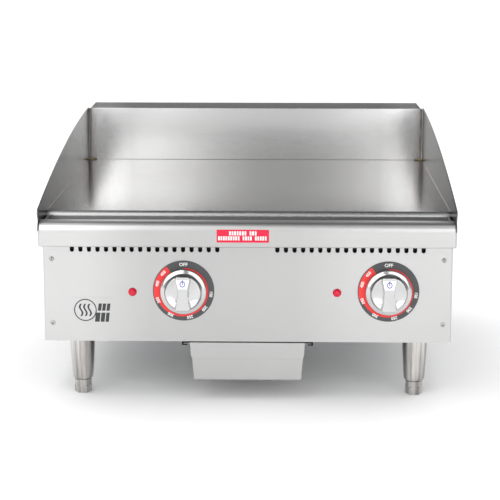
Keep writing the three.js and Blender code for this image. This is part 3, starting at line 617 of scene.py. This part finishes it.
def corner_weld(side):
    """Ground bead up the corner between the guard and the rear splash."""
    sign = -1 if side == "left" else 1
    low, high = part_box("splash_rear")
    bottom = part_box("griddle_plate")[1].z
    height = high.z - SPLASH_LIP_RISE - bottom
    x = sign * (high.x - 0.4 * MM)
    y = low.y - 0.2 * MM
    rng = random.Random(11 if side == "left" else 12)
    rows = []
    steps = 46
    for i in range(steps + 1):
        z = bottom + height * i / steps
        reach = (4.2 + 0.5 * rng.random()) * MM
        rows.append([
            (x, y - reach * 0.8, z),
            (x - sign * reach * 0.3, y - reach * 0.3, z),
            (x - sign * reach, y, z),
        ])
    bm = bmesh.new()
    add_grid(bm, rows)
    piece = finish_mesh(f"corner_weld_{side}", bm, WELD_AND_RECESS_SHADE, "cabinet")
    thicken(piece, 0.3 * MM, offset=0.0)


def weld_spots(side):
    """Small burnt tack welds where the corner meets the plate."""
    sign = -1 if side == "left" else 1
    low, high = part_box("splash_rear")
    plate_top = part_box("griddle_plate")[1].z
    rng = random.Random(5 if side == "left" else 6)
    bm = bmesh.new()
    beads = ((2.5, 2, 2.5), (6, 1.6, 2.3), (9.2, 1.2, 1.7), (1.6, 6, 2), (12, 0.8, 1.1))
    for across, forward, radius in beads:
        centre = Vector((sign * (high.x - across * MM), low.y - forward * MM, plate_top + 1.2 * MM))
        bead = bmesh.ops.create_icosphere(bm, subdivisions=3, radius=radius * MM)
        for vertex in bead["verts"]:
            wobble = 1 + 0.2 * (rng.random() - 0.5)
            vertex.co = centre + Vector((vertex.co.x * 1.2, vertex.co.y * 0.8, vertex.co.z)) * wobble
    finish_mesh(f"tack_welds_{side}", bm, BURNT, "cabinet", smooth=60)


# --------------------------------------------------------------- front rail

def front_rail():
    """Bullnose over a flat band that wraps round the cabinet's corners."""
    low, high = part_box("front_rail")
    face = low.y
    r = BULLNOSE
    corner = 4 * MM
    bend = 2 * MM
    between_guards = 302.5 * MM
    shelf_back = face + 26 * MM
    shelf_drop = 6 * MM
    foot_return = 7 * MM
    half = high.x
    flat = half - corner
    bm = bmesh.new()
    upper = [(face, RAIL_SEAM), *reversed(arc((face + r, high.z - r), r, 90, 180, 16))]
    upper += [(shelf_back - bend, high.z), (shelf_back, high.z - bend), (shelf_back, high.z - shelf_drop)]
    ends = (-between_guards, -flat, flat, between_guards)
    add_grid(bm, [[(x, y, z) for y, z in upper] for x in ends])
    path = [((-half, high.y), (-1, 0))]
    steps = 8
    for i in range(steps + 1):
        angle = math.radians(180 + 90 * i / steps)
        direction = (math.cos(angle), math.sin(angle))
        path.append(((-flat + corner * direction[0], face + corner + corner * direction[1]), direction))
    path += [((-x, y), (-nx, ny)) for (x, y), (nx, ny) in reversed(path)]
    band = [(foot_return, low.z), (bend, low.z)]
    for degrees in (30, 60, 90):
        a = math.radians(degrees)
        band.append((bend - bend * math.sin(a), low.z + bend - bend * math.cos(a)))
    band.append((0.0, RAIL_SEAM))
    rows = []
    for (x, y), (nx, ny) in path:
        rows.append([(x - nx * inset, y - ny * inset, z) for inset, z in band])
    add_grid(bm, rows)
    bmesh.ops.remove_doubles(bm, verts=bm.verts, dist=0.02 * MM)
    piece = finish_mesh("rail", bm, STEEL, "cabinet", replaced=["front_rail"])
    thicken(piece, SHEET)


def caution_label():
    """Red plate with two rows of plain white dashes in place of words."""
    low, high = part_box("caution_plate")
    front = low.y + 0.15 * MM
    outline = [(u, front, w) for u, w in rounded_loop(low, high, 1.2 * MM, 4)]
    bm = bmesh.new()
    add_prism(bm, outline, (0, high.y + 0.28 * MM - low.y, 0))
    finish_mesh("caution_label", bm, CAUTION, "cabinet", replaced=["caution_plate"])
    rows = [(0.72, 0.24, 0.78, (7, 3)), (0.33, 0.03, 0.97, (9, 4, 5))]
    bm = bmesh.new()
    width = high.x - low.x
    height = high.z - low.z
    tall = 5.9 * MM
    dash_share = 0.62
    proud = 0.1 * MM
    for level, start, end, groups in rows:
        count = sum(groups) + len(groups) - 1
        pitch = (end - start) * width / count
        x = low.x + start * width
        z = low.z + level * height
        for group in groups:
            for _ in range(group):
                dash = box_loop(x, x + pitch * dash_share, z - tall / 2, z + tall / 2)
                add_prism(bm, [(u, low.y + proud, w) for u, w in dash], (0, proud, 0))
                x += pitch
            x += pitch
    finish_mesh("caution_dashes", bm, PRINT_WHITE, "cabinet")


def steel_seams():
    """Polished fillets where the plate meets the guards and the rear splash."""
    plate_low, plate_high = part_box("griddle_plate")
    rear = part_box("splash_rear")[0].y
    reach = 0.5 * MM
    depth = reach * 1.4
    z = plate_high.z + 0.05 * MM
    start = plate_low.y + 5 * MM
    for name, sign in (("left", -1), ("right", 1)):
        x = sign * (plate_high.x + GAP)
        bm = bmesh.new()
        outline = [(x, start, z - reach), (x, start, z + reach), (x - sign * depth, start, z)]
        add_prism(bm, outline, (0, rear - start, 0))
        finish_mesh(f"side_fillet_{name}", bm, PLATE, "cabinet")
    bm = bmesh.new()
    edge = plate_low.x + 0.2 * MM
    outline = [(edge, rear, z - reach), (edge, rear, z + reach), (edge, rear - depth, z)]
    add_prism(bm, outline, (-2 * edge, 0, 0))
    finish_mesh("rear_fillet", bm, PLATE, "cabinet")


# ------------------------------------------------------------ cabinet sheets

def sheet_with_holes(outline, holes, face_y):
    """Flat upright sheet behind face_y; outlines are (x, z) loops."""
    curve = bpy.data.curves.new("outline", "CURVE")
    curve.dimensions = "2D"
    curve.fill_mode = "BOTH"
    curve.extrude = SHEET / 2
    for loop in [outline, *holes]:
        spline = curve.splines.new("POLY")
        spline.points.add(len(loop) - 1)
        for point, (x, z) in zip(spline.points, loop):
            point.co = (x, z, 0, 1)
        spline.use_cyclic_u = True
    turn = Matrix.Translation((0, face_y + SHEET / 2, 0)) @ Matrix.Rotation(math.pi / 2, 4, "X")
    bm = bmesh.new()
    add_curve(bm, curve, turn)
    bmesh.ops.remove_doubles(bm, verts=bm.verts, dist=0.001 * MM)
    return bm


def add_curve(bm, curve, matrix):
    """Adds the mesh of a curve or a text, moved by a matrix."""
    holder = bpy.data.objects.new("holder", curve)
    bpy.context.scene.collection.objects.link(holder)
    depsgraph = bpy.context.evaluated_depsgraph_get()
    mesh = bpy.data.meshes.new_from_object(holder.evaluated_get(depsgraph))
    mesh.transform(matrix)
    bm.from_mesh(mesh)
    bpy.data.objects.remove(holder)
    bpy.data.meshes.remove(mesh)


def slot_loop(x, bottom, height, width):
    r = width / 2
    return arc((x, bottom + height - r), r, 0, 180, 10) + arc((x, bottom + r), r, 180, 360, 10)


def vent_slots(bottom, every=1):
    """Slots in two groups; every takes only each second, third or further one."""
    pitch = 12.7 * MM
    first = 44.45 * MM
    count = 18
    loops = []
    for i in range(0, count, every):
        for sign in (-1, 1):
            loops.append(slot_loop(sign * (first + pitch * i), bottom, 18 * MM, pitch / 2))
    return loops


def circle_loop(x, z, radius, steps=32):
    return arc((x, z), radius, 0, 360 * (steps - 1) / steps, steps - 1)


def hole_for(node, radius, steps=32):
    """Round hole in a sheet, centred on a node that passes through it."""
    low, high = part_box(node)
    return circle_loop((low.x + high.x) / 2, (low.z + high.z) / 2, radius, steps)


def screw_holes():
    places = ("top_left", "top_right", "bottom_left", "bottom_right")
    return [hole_for(f"panel_screw_{place}", 2.3 * MM, 12) for place in places]


def control_panel():
    """Front sheet with vents and control holes, and its sides bent back."""
    low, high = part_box("control_panel")
    bend = 4 * MM
    slot_bottom = 229.4 * MM
    holes = vent_slots(slot_bottom) + screw_holes()
    for side in ("left", "right"):
        holes.append(hole_for(f"thermostat_shaft_{side}", 5.6 * MM))
        holes.append(hole_for(f"pilot_lens_{side}", 5.2 * MM))
    flat = high.x - bend
    bm = sheet_with_holes(box_loop(-flat, flat, low.z, high.z), holes, low.y)
    for side in (-1, 1):
        start, end = (270, 360) if side > 0 else (270, 180)
        centre = (side * flat, low.y + bend)
        outer = arc(centre, bend, start, end, 6)
        inner = arc(centre, bend - SHEET, start, end, 6)
        back_edge = [(side * high.x, high.y), (side * (high.x - SHEET), high.y)]
        returned = [*outer, *back_edge, *reversed(inner)]
        add_prism(bm, [(x, y, low.z) for x, y in returned], (0, 0, high.z - low.z))
    finish_mesh("panel", bm, STEEL, "cabinet", replaced=["control_panel"])


def rear_panel():
    """Back sheet with vents, the inlet hole and the flange under the splash."""
    low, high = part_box("rear_panel")
    slot_bottom = 190 * MM
    holes = vent_slots(slot_bottom, every=2) + screw_holes() + [hole_for("inlet_bushing", 13.3 * MM)]
    bm = sheet_with_holes(box_loop(low.x, high.x, low.z, high.z), holes, high.y - SHEET)
    flange = box_loop(low.y, high.y - SHEET, high.z - SHEET, high.z)
    add_prism(bm, [(low.x, y, z) for y, z in flange], (high.x - low.x, 0, 0))
    finish_mesh("back_panel", bm, ZINC, "cabinet", replaced=["rear_panel"])


def screw(node):
    """Domed head with a cross recess drawn as a dark solid cross, which is painted shade; the shank sits
    in the panel.
    """
    low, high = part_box(node)
    x, z = (low.x + high.x) / 2, (low.z + high.z) / 2
    outward = -1 if node.startswith("panel") else 1
    axis = "-Y" if outward < 0 else "Y"
    face = PANEL_FACE if outward < 0 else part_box("rear_panel")[1].y
    top = (face - low.y) if outward < 0 else (high.y - face)
    r = (high.x - low.x) / 2
    shank = 2 * MM
    bm = bmesh.new()
    profile = [(shank, -9 * MM), (shank, GAP), (r, GAP), (r, GAP + 0.5 * MM)]
    profile += [(r * across, top * proud)
                for across, proud in ((0.9, 0.62), (0.66, 0.86), (0.34, 0.97), (0.05, 1))]
    add_lathe(bm, profile, (x, face, z), axis, 24)
    finish_mesh(f"{node}_head", bm, SCREW, "cabinet", replaced=[node])
    # Painted shade: the cross recess is a dark solid cross set into the dome, not a hollow.
    bm = bmesh.new()
    arm, half = r * 0.55, r * 0.11
    start = face + outward * top * 0.8
    depth = outward * (top * 0.215)
    for u, w in ((arm, half), (half, arm)):
        slot = box_loop(x - u, x + u, z - w, z + w)
        add_prism(bm, [(across, start, up) for across, up in slot], (0, depth, 0))
    finish_mesh(f"{node}_recess", bm, WELD_AND_RECESS_SHADE, "cabinet")


def badge():
    """Plain badge: three heat waves in a ring beside two rows of blocks."""
    low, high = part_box("badge_plate")
    face = high.y
    bm = bmesh.new()
    outline = [(u, face, w) for u, w in rounded_loop(low, high, 3 * MM, 5)]
    add_prism(bm, outline, (0, -0.3 * MM, 0))
    finish_mesh("badge", bm, STEEL, "cabinet", replaced=["badge_plate"])
    bm = bmesh.new()
    rise = -0.12 * MM
    front = face - 0.28 * MM
    centre = (low.x + 19 * MM, low.z + 21 * MM)
    ring = [[(u, front + d, w) for u, w in circle_loop(*centre, radius * MM, 40)]
            for radius, d in ((17, 0), (17, rise), (15.4, rise), (15.4, 0))]
    add_grid(bm, [*ring, ring[0]], closed=True)
    spacing, swing, tall = 6.4, 2, 19
    half_width = 1.4 * MM
    steps = 16
    for i in (-1, 0, 1):
        wave = []
        for k in range(steps + 1):
            t = k / steps
            across = spacing * i + swing * math.sin(2 * math.pi * t)
            wave.append((centre[0] + across * MM, centre[1] + (t - 0.5) * tall * MM))
        loop = [(u - half_width, front, w) for u, w in wave]
        loop += [(u + half_width, front, w) for u, w in reversed(wave)]
        add_prism(bm, loop, (0, rise, 0))
    lean = 1.6 * MM
    space = 1.4 * MM
    for bottom, height, start, widths in ((20, 11, 37.5, (5, 5, 5)), (3, 14, 33, (7, 6, 5))):
        x = low.x + start * MM
        z = low.z + bottom * MM
        top = z + height * MM
        for wide in widths:
            end = x + wide * MM
            block = [(x, front, z), (end, front, z), (end + lean, front, top), (x + lean, front, top)]
            add_prism(bm, block, (0, rise, 0))
            x = end + space
    finish_mesh("badge_marks", bm, BADGE, "cabinet")


# ------------------------------------------------------------------ controls

def control_centre(side):
    low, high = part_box(f"thermostat_shaft_{side}")
    return Vector(((low.x + high.x) / 2, PANEL_FACE, (low.z + high.z) / 2))


def dial_point(centre, radius, clockwise, proud):
    angle = math.radians(clockwise)
    return centre + Vector((radius * math.sin(angle), -proud, radius * math.cos(angle)))


def band_radius(clockwise):
    """Outer radius of the red band: it widens slowly, then steps out at the hottest marks."""
    slow = 34.3 + 6.5 * min(clockwise / 240, 1)
    step = smooth_step(min(max((clockwise - 240) / 14, 0), 1))
    return (slow + 3.6 * step) * MM


def dial_plate(side):
    """Printed ring: black ground, a red band that widens clockwise, OFF and temperatures."""
    node = f"dial_plate_{side}"
    centre = control_centre(side)
    low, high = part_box(node)
    top = PANEL_FACE - low.y
    r = (high.x - low.x) / 2
    bore = 12 * MM
    ground = top - 0.1 * MM
    bm = bmesh.new()
    profile = [(bore, GAP), (r - 0.2 * MM, GAP), (r, GAP + 0.2 * MM), (r, top - 0.3 * MM),
               (r - 0.3 * MM, ground), (bore, ground), (bore, GAP)]
    add_lathe(bm, profile, centre, "-Y", 96, cap=False)
    finish_mesh(f"dial_{side}", bm, DIAL_BLACK, "cabinet", replaced=[node])
    bm = bmesh.new()
    inner = 31 * MM
    band_end = 325.7
    print_height = top - 0.06 * MM
    steps = 90
    rows = []
    for i in range(steps + 1):
        clockwise = band_end * i / steps
        outer = band_radius(clockwise)
        rows.append([dial_point(centre, inner, clockwise, print_height),
                     dial_point(centre, outer, clockwise, print_height),
                     dial_point(centre, outer, clockwise, top - 0.12 * MM)])
    add_grid(bm, rows)
    finish_mesh(f"dial_band_{side}", bm, DIAL_RED, "cabinet")
    bm = bmesh.new()
    marks = (("OFF", 0, 39.6), ("150", 97, 41), ("200", 131, 41), ("250", 167, 41), ("300", 208, 41),
             ("350", 249, 40.5), ("400", 285, 40.2), ("450", 311, 39.8))
    for text, clockwise, radius in marks:
        font = bpy.data.curves.new("mark", "FONT")
        font.body = text
        font.size = (7.2 if text == "OFF" else 6.2) * MM
        font.align_x = "CENTER"
        font.align_y = "CENTER"
        font.extrude = 0.02 * MM
        font.offset = 0.14 * MM
        font.resolution_u = 4
        place = Matrix.Translation(dial_point(centre, radius * MM, clockwise, top - 0.03 * MM))
        add_curve(bm, font, place @ Matrix.Rotation(math.radians(clockwise), 4, "Y")
                  @ Matrix.Rotation(math.pi / 2, 4, "X"))
    finish_mesh(f"dial_marks_{side}", bm, PRINT_WHITE, "cabinet")


def grip_outline(reach, waist, end, steps=16):
    """Hourglass outline of the knob's bar, as (u, v) about the shaft."""
    edge = []
    for i in range(steps + 1):
        v = reach * (2 * i / steps - 1)
        u = waist + (end - waist) * (v / reach) ** 2
        u = min(u, math.sqrt(max(0, (reach * 1.06) ** 2 - v * v)))
        edge.append((u, v))
    return edge + [(-u, -v) for u, v in edge]


def knob(side):
    """Chromed knob: broad skirt, dished hub and a waisted bar with a white index pad."""
    node = f"knob_{side}"
    centre = control_centre(side)
    bm = bmesh.new()
    skirt = [(3.3, 2), (32.2, 2), (32.8, 2.6), (34.4, 8.2), (34.1, 9.8), (33, 10.8), (30.5, 11.6)]
    hub = [(28.6, 12.4), (27.4, 13.6), (26.8, 15.5), (26.3, 18.6), (25.9, 19.7), (25.2, 20.2)]
    dish = [(24.3, 20.1), (21, 18.8), (16, 17.7), (9, 17.1), (3.3, 17)]
    profile = [(radius * MM, proud * MM) for radius, proud in skirt + hub + dish]
    add_lathe(bm, profile, centre, "-Y", 96, cap=False)
    finish_mesh(f"knob_body_{side}", bm, CHROME, node, smooth=50, replaced=[node])
    bm = bmesh.new()
    loop = [centre + Vector((u * MM, -16.4 * MM, v * MM)) for u, v in grip_outline(26, 7.6, 13)]
    add_prism(bm, loop, (0, -10.2 * MM, 0))
    bar = finish_mesh(f"knob_bar_{side}", bm, CHROME, node, smooth=40, bevel=1.7 * MM)
    bar.modifiers["soften"].segments = 4
    bm = bmesh.new()
    pad = []
    for u, v in ((-6.6, 8), (6.6, 8), (9.8, 19.5), (9.2, 21.6), (-9.2, 21.6), (-9.8, 19.5)):
        pad.append(centre + Vector((u * MM, -26.5 * MM, v * MM)))
    add_prism(bm, pad, (0, -0.35 * MM, 0))
    finish_mesh(f"knob_pad_{side}", bm, PAD_WHITE, node, bevel=0.15 * MM)
    knob_index(side, centre)


def knob_index(side, centre):
    """Blue index mark on the pad: a slightly tall ring with a stroke in it."""
    bm = bmesh.new()
    middle = centre + Vector((0, -26.8 * MM, 15.4 * MM))
    proud = 0.14
    stretch = 1.15
    steps = 32
    rings = []
    for radius, height in ((4.1, 0), (4.1, proud), (2.9, proud), (2.9, 0)):
        ring = []
        for k in range(steps):
            a = 2 * math.pi * k / steps
            u = radius * MM * math.cos(a)
            v = radius * MM * math.sin(a) * stretch
            ring.append(middle + Vector((u, -height * MM, v)))
        rings.append(ring)
    add_grid(bm, [*rings, rings[0]], closed=True)
    stroke = [middle + Vector((u * MM, 0, v * MM)) for u, v in box_loop(-0.65, 0.65, -0.6, 5.9)]
    add_prism(bm, stroke, (0, -proud * MM, 0))
    finish_mesh(f"knob_index_{side}", bm, INDEX_BLUE, f"knob_{side}")


def pilot_lens(side):
    node = f"pilot_lens_{side}"
    low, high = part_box(node)
    centre = ((low.x + high.x) / 2, PANEL_FACE, (low.z + high.z) / 2)
    r = (high.x - low.x) / 2
    top = PANEL_FACE - low.y
    neck = 4.6 * MM
    rim = 1.5 * MM
    profile = [(neck, -7 * MM), (neck, GAP), (r, GAP), (r, 1.1 * MM), (r * 0.93, rim)]
    steps = 8
    for i in range(1, steps + 1):
        angle = math.pi / 2 * i / steps
        reach = max(r * 0.9 * math.cos(angle), 0.02 * MM)
        profile.append((reach, rim + (top - rim) * math.sin(angle)))
    bm = bmesh.new()
    add_lathe(bm, profile, centre, "-Y", 40)
    finish_mesh(f"lens_{side}", bm, LENS, "cabinet", replaced=[node])


# ------------------------------------------------------- drawer, legs, feet

def grease_drawer():
    """Pressed box with a flap turned down over its front."""
    low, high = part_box("grease_drawer")
    sheet = 1.2 * MM
    rim = 90.1 * MM
    bottom_half, top_half = 81.5 * MM, 86 * MM
    front = low.y + sheet + 3 * MM
    bm = bmesh.new()
    corners = []
    for z, half in ((low.z, bottom_half), (rim, top_half)):
        corners.append([bm.verts.new((x, y, z)) for x, y in box_loop(-half, half, front, high.y)])
    bm.faces.new(corners[0])
    for i in range(4):
        j = (i + 1) % 4
        bm.faces.new((corners[0][i], corners[0][j], corners[1][j], corners[1][i]))
    rim_edges = {edge for edge in bm.edges if all(v in corners[1] for v in edge.verts)}
    folded = [edge for edge in bm.edges if edge not in rim_edges]
    bmesh.ops.bevel(bm, geom=folded, offset=3 * MM, segments=4, profile=0.5, affect="EDGES",
                    clamp_overlap=True)
    box = finish_mesh("drawer_box", bm, STEEL, "grease_drawer",
                      replaced=["grease_drawer"])
    thicken(box, sheet)
    bm = bmesh.new()
    for side in (-1, 1):
        flange = box_loop(side * (top_half - sheet), side * high.x, rim - sheet, rim)
        add_prism(bm, [(x, front, z) for x, z in flange], (0, high.y - front, 0))
    lower = high.z - 25 * MM
    r = 6 * MM
    round_x = top_half - 1 * MM - r
    flap = [(top_half, high.z), (-top_half, high.z), *arc((-round_x, lower + r), r, 180, 270, 8),
            *arc((round_x, lower + r), r, 270, 360, 8)]
    add_prism(bm, [(x, low.y, z) for x, z in flap], (0, sheet, 0))
    cap = box_loop(low.y + sheet, front + sheet, high.z - sheet, high.z)
    add_prism(bm, [(-top_half, y, z) for y, z in cap], (2 * top_half, 0, 0))
    web_half = top_half - 2 * MM
    web = box_loop(front, front + sheet, rim - 4 * MM, high.z - sheet)
    add_prism(bm, [(-web_half, y, z) for y, z in web], (2 * web_half, 0, 0))
    finish_mesh("drawer_flap", bm, STEEL, "grease_drawer", bevel=0.35 * MM)


def leg(node):
    """Tapered casting; its lower end rounds in to the foot."""
    low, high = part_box(node)
    x, y = (low.x + high.x) / 2, (low.y + high.y) / 2
    top = 93.2 * MM
    bore, stud = 8.3 * MM, 4.8 * MM
    profile = [(bore, 60 * MM), (bore, low.z)]
    for radius, rise in ((13.4, 0), (14.3, 0.7), (15.2, 2.2)):
        profile.append((radius * MM, low.z + rise * MM))
    start = low.z + 4.6 * MM
    steps = 12
    for i in range(steps + 1):
        t = i / steps
        profile.append(((15.9 + 3.1 * (1 - (1 - t) ** 1.6)) * MM, start + (top - start) * t))
    profile += [(stud, top), (stud, high.z)]
    bm = bmesh.new()
    add_lathe(bm, profile, (x, y, 0), "Z", 64)
    finish_mesh(f"{node}_casting", bm, ALLOY, "cabinet", replaced=[node])


def foot(node):
    """Round collar over a hexagonal base."""
    low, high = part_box(node)
    x, y = (low.x + high.x) / 2, (low.y + high.y) / 2
    bm = bmesh.new()
    collar = ((11, 11), (12.3, 11.6), (12.9, 12.6), (12.9, 20.9), (12.2, 21.7), (8, 21.7))
    profile = [(radius * MM, height * MM) for radius, height in collar] + [(8 * MM, high.z)]
    add_lathe(bm, profile, (x, y, 0), "Z", 48)
    finish_mesh(f"{node}_collar", bm, ALLOY, node, replaced=[node])
    bm = bmesh.new()
    hexagon = [(u, v, 0.0) for u, v in arc((x, y), 13.5 * MM, 0, 300, 5)]
    add_prism(bm, hexagon, (0, 0, 12 * MM))
    finish_mesh(f"{node}_hexagon", bm, ALLOY, node, bevel=1.1 * MM)


def inlet():
    """Flanged cable sleeve in the back panel."""
    low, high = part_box("inlet_bushing")
    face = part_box("rear_panel")[1].y
    centre = ((low.x + high.x) / 2, face, (low.z + high.z) / 2)
    proud = high.y - face
    inner = -14 * MM
    bore, neck, flange = 9 * MM, 13 * MM, 17 * MM
    profile = [(bore, inner), (neck, inner), (neck, GAP), (flange, GAP), (flange, proud - 2 * MM),
               (flange - 0.6 * MM, proud - 0.6 * MM), (flange - 2 * MM, proud), (bore + MM, proud),
               (bore, proud - MM), (bore, inner)]
    bm = bmesh.new()
    add_lathe(bm, profile, centre, "Y", 64, cap=False)
    finish_mesh("cable_sleeve", bm, BLACK, "cabinet", replaced=["inlet_bushing"])


# ------------------------------------------------------------ camera, lights

def camera():
    data = bpy.data.cameras.new("camera")
    data.lens = 116.67
    data.sensor_width = 36
    data.clip_start = 0.01
    data.clip_end = 100
    eye = bpy.data.objects.new("camera", data)
    bpy.context.scene.collection.objects.link(eye)
    yaw, pitch = -0.0235, 0.1992
    level = math.cos(pitch)
    forward = Vector((math.sin(yaw) * level, math.cos(yaw) * level, -math.sin(pitch)))
    distance = 2.30645
    eye.location = (0.05918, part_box("front_rail")[0].y - distance, 0.70782)
    eye.rotation_euler = forward.to_track_quat("-Z", "Y").to_euler()
    bpy.context.scene.camera = eye


def softbox(name, location, target, width, height, radiance):
    data = bpy.data.lights.new(name, "AREA")
    data.shape = "RECTANGLE"
    data.size = width
    data.size_y = height
    data.energy = radiance * math.pi * width * height
    lamp = bpy.data.objects.new(name, data)
    bpy.context.scene.collection.objects.link(lamp)
    lamp.location = location
    aim = Vector(target) - Vector(location)
    lamp.rotation_euler = aim.to_track_quat("-Z", "Y").to_euler()
    lamp.visible_camera = False
    return lamp


def floor():
    """Pale floor as a plain grid."""
    half = 30
    steps = 24
    places = [-half + 2 * half * i / steps for i in range(steps + 1)]
    bm = bmesh.new()
    add_grid(bm, [[(x, y, 0) for x in places] for y in places])
    mesh = bpy.data.meshes.new("floor")
    bm.to_mesh(mesh)
    bm.free()
    ground = bpy.data.objects.new("floor", mesh)
    bpy.context.scene.collection.objects.link(ground)
    t = Tree("floor_paint")
    haze = t.noise(t.coordinates(), 2, 3, 0.5)
    t.colour(t.ramp(haze, (0.3, (0.86, 0.86, 0.86)), (0.7, (0.88, 0.88, 0.88))))
    t.set(Roughness=0.9, Specular_IOR_Level=0.1)
    mesh.materials.append(t.material)


def world():
    """Studio air: white to the camera; in reflections dim, and darkest above and behind."""
    sky = bpy.data.worlds.new("studio")
    bpy.context.scene.world = sky
    sky.use_nodes = True
    tree = sky.node_tree
    nodes = tree.nodes
    back = nodes["Background"]
    place = nodes.new("ShaderNodeTexCoord")
    split = nodes.new("ShaderNodeSeparateXYZ")
    tree.links.new(place.outputs["Generated"], split.inputs["Vector"])
    high = nodes.new("ShaderNodeMapRange")
    fade = nodes.new("ShaderNodeMapRange")
    front_to_back = (-0.35, 0.25, 0.42, 0.14)
    rise = (0.0, 0.6, 0.44, 0.0)
    for node, axis, limits in ((high, "Y", front_to_back), (fade, "Z", rise)):
        for key, number in zip(REMAP_LIMITS, limits):
            node.inputs[key].default_value = number
        tree.links.new(split.outputs[axis], node.inputs["Value"])
    tree.links.new(high.outputs["Result"], fade.inputs["To Max"])
    tree.links.new(fade.outputs["Result"], back.inputs["Strength"])
    seen = nodes.new("ShaderNodeBackground")
    for node in (back, seen):
        node.inputs["Color"].default_value = (1, 1, 1, 1)
    path = nodes.new("ShaderNodeLightPath")
    mix = nodes.new("ShaderNodeMixShader")
    tree.links.new(path.outputs["Is Camera Ray"], mix.inputs["Fac"])
    tree.links.new(back.outputs["Background"], mix.inputs[1])
    tree.links.new(seen.outputs["Background"], mix.inputs[2])
    tree.links.new(mix.outputs["Shader"], nodes["World Output"].inputs["Surface"])


def studio():
    bpy.context.scene.view_settings.view_transform = "Standard"
    world()
    floor()
    softbox("front_left", (-1.75, -2.9, 1.9), (-1.35, 0, 0.3), 3.0, 3.9, 1.85)
    softbox("front_right", (1.55, -2.9, 1.1), (1.1, 0, 0.3), 2.4, 2.4, 1.75)
    softbox("back_left", (-1.35, 2.3, 1.1), (-0.6, 0, 0.3), 2.3, 1.4, 0.62)
    softbox("back_right", (1.45, 2.3, 1.1), (0.6, 0, 0.3), 2.3, 1.4, 0.55)
    softbox("top_left", (-1.15, -0.8, 2.4), (-1.15, -0.8, 0), 1.5, 2.2, 0.75)
    softbox("top_right", (1.05, -1.3, 2.4), (1.05, -1.3, 0), 1.3, 1.0, 0.7)
    softbox("lip_strip", (0, 0.62, 1.25), (0, 0.3, 0.38), 1.5, 0.32, 0.45)
    wash_height, wash_width = 3.0, 60
    for name, middle, length in (("back_floor", 23.25, 49.5), ("front_floor", -25, 37)):
        wash = softbox(name, (0, middle, wash_height), (0, middle, 0), wash_width, length, 1.05)
        wash.visible_glossy = False


# ------------------------------------------------------------------ assembly

def carried_over(material, *names):
    """Gives CAD nodes that keep their shape a material."""
    for name in names:
        node = NODES[name]
        node.data.materials.clear()
        node.data.materials.append(material)


def carried_over_nodes():
    carried_over(TROUGH_STEEL, "grease_trough")
    carried_over(STEEL, "grease_chute")
    carried_over(SIDE_STEEL, "side_panel_left", "side_panel_right")
    carried_over(ZINC, "bottom_pan", "heat_shield", "crossmember_front", "crossmember_rear",
                 "element_clamp_front", "element_clamp_rear")
    carried_over(DARK, "drawer_rail_left", "drawer_rail_right")
    carried_over(BLACK, "thermostat_left", "thermostat_right", "pilot_lamp_left", "pilot_lamp_right",
                 "terminal_block")
    carried_over(SCREW, "thermostat_shaft_left", "thermostat_shaft_right")
    carried_over(copper(), "sensing_bulb_left", "sensing_bulb_right")
    carried_over(element_sheath(), "heating_element_left", "heating_element_right")
    carried_over(mineral_wool(), "insulation_blanket")
    carried_over(wire_sleeve(), "supply_wire_left", "supply_wire_right")


camera()
studio()
carried_over_nodes()
griddle_plate()
rear_splash()
steel_seams()
front_rail()
caution_label()
control_panel()
rear_panel()
badge()
grease_drawer()
inlet()
for name in sorted(NODES):
    if "_screw_" in name:
        screw(name)
    if name.startswith("leg_"):
        leg(name)
    if name.startswith("foot_"):
        foot(name)
for side in ("left", "right"):
    side_guard(side)
    corner_weld(side)
    weld_spots(side)
    dial_plate(side)
    knob(side)
    pilot_lens(side)
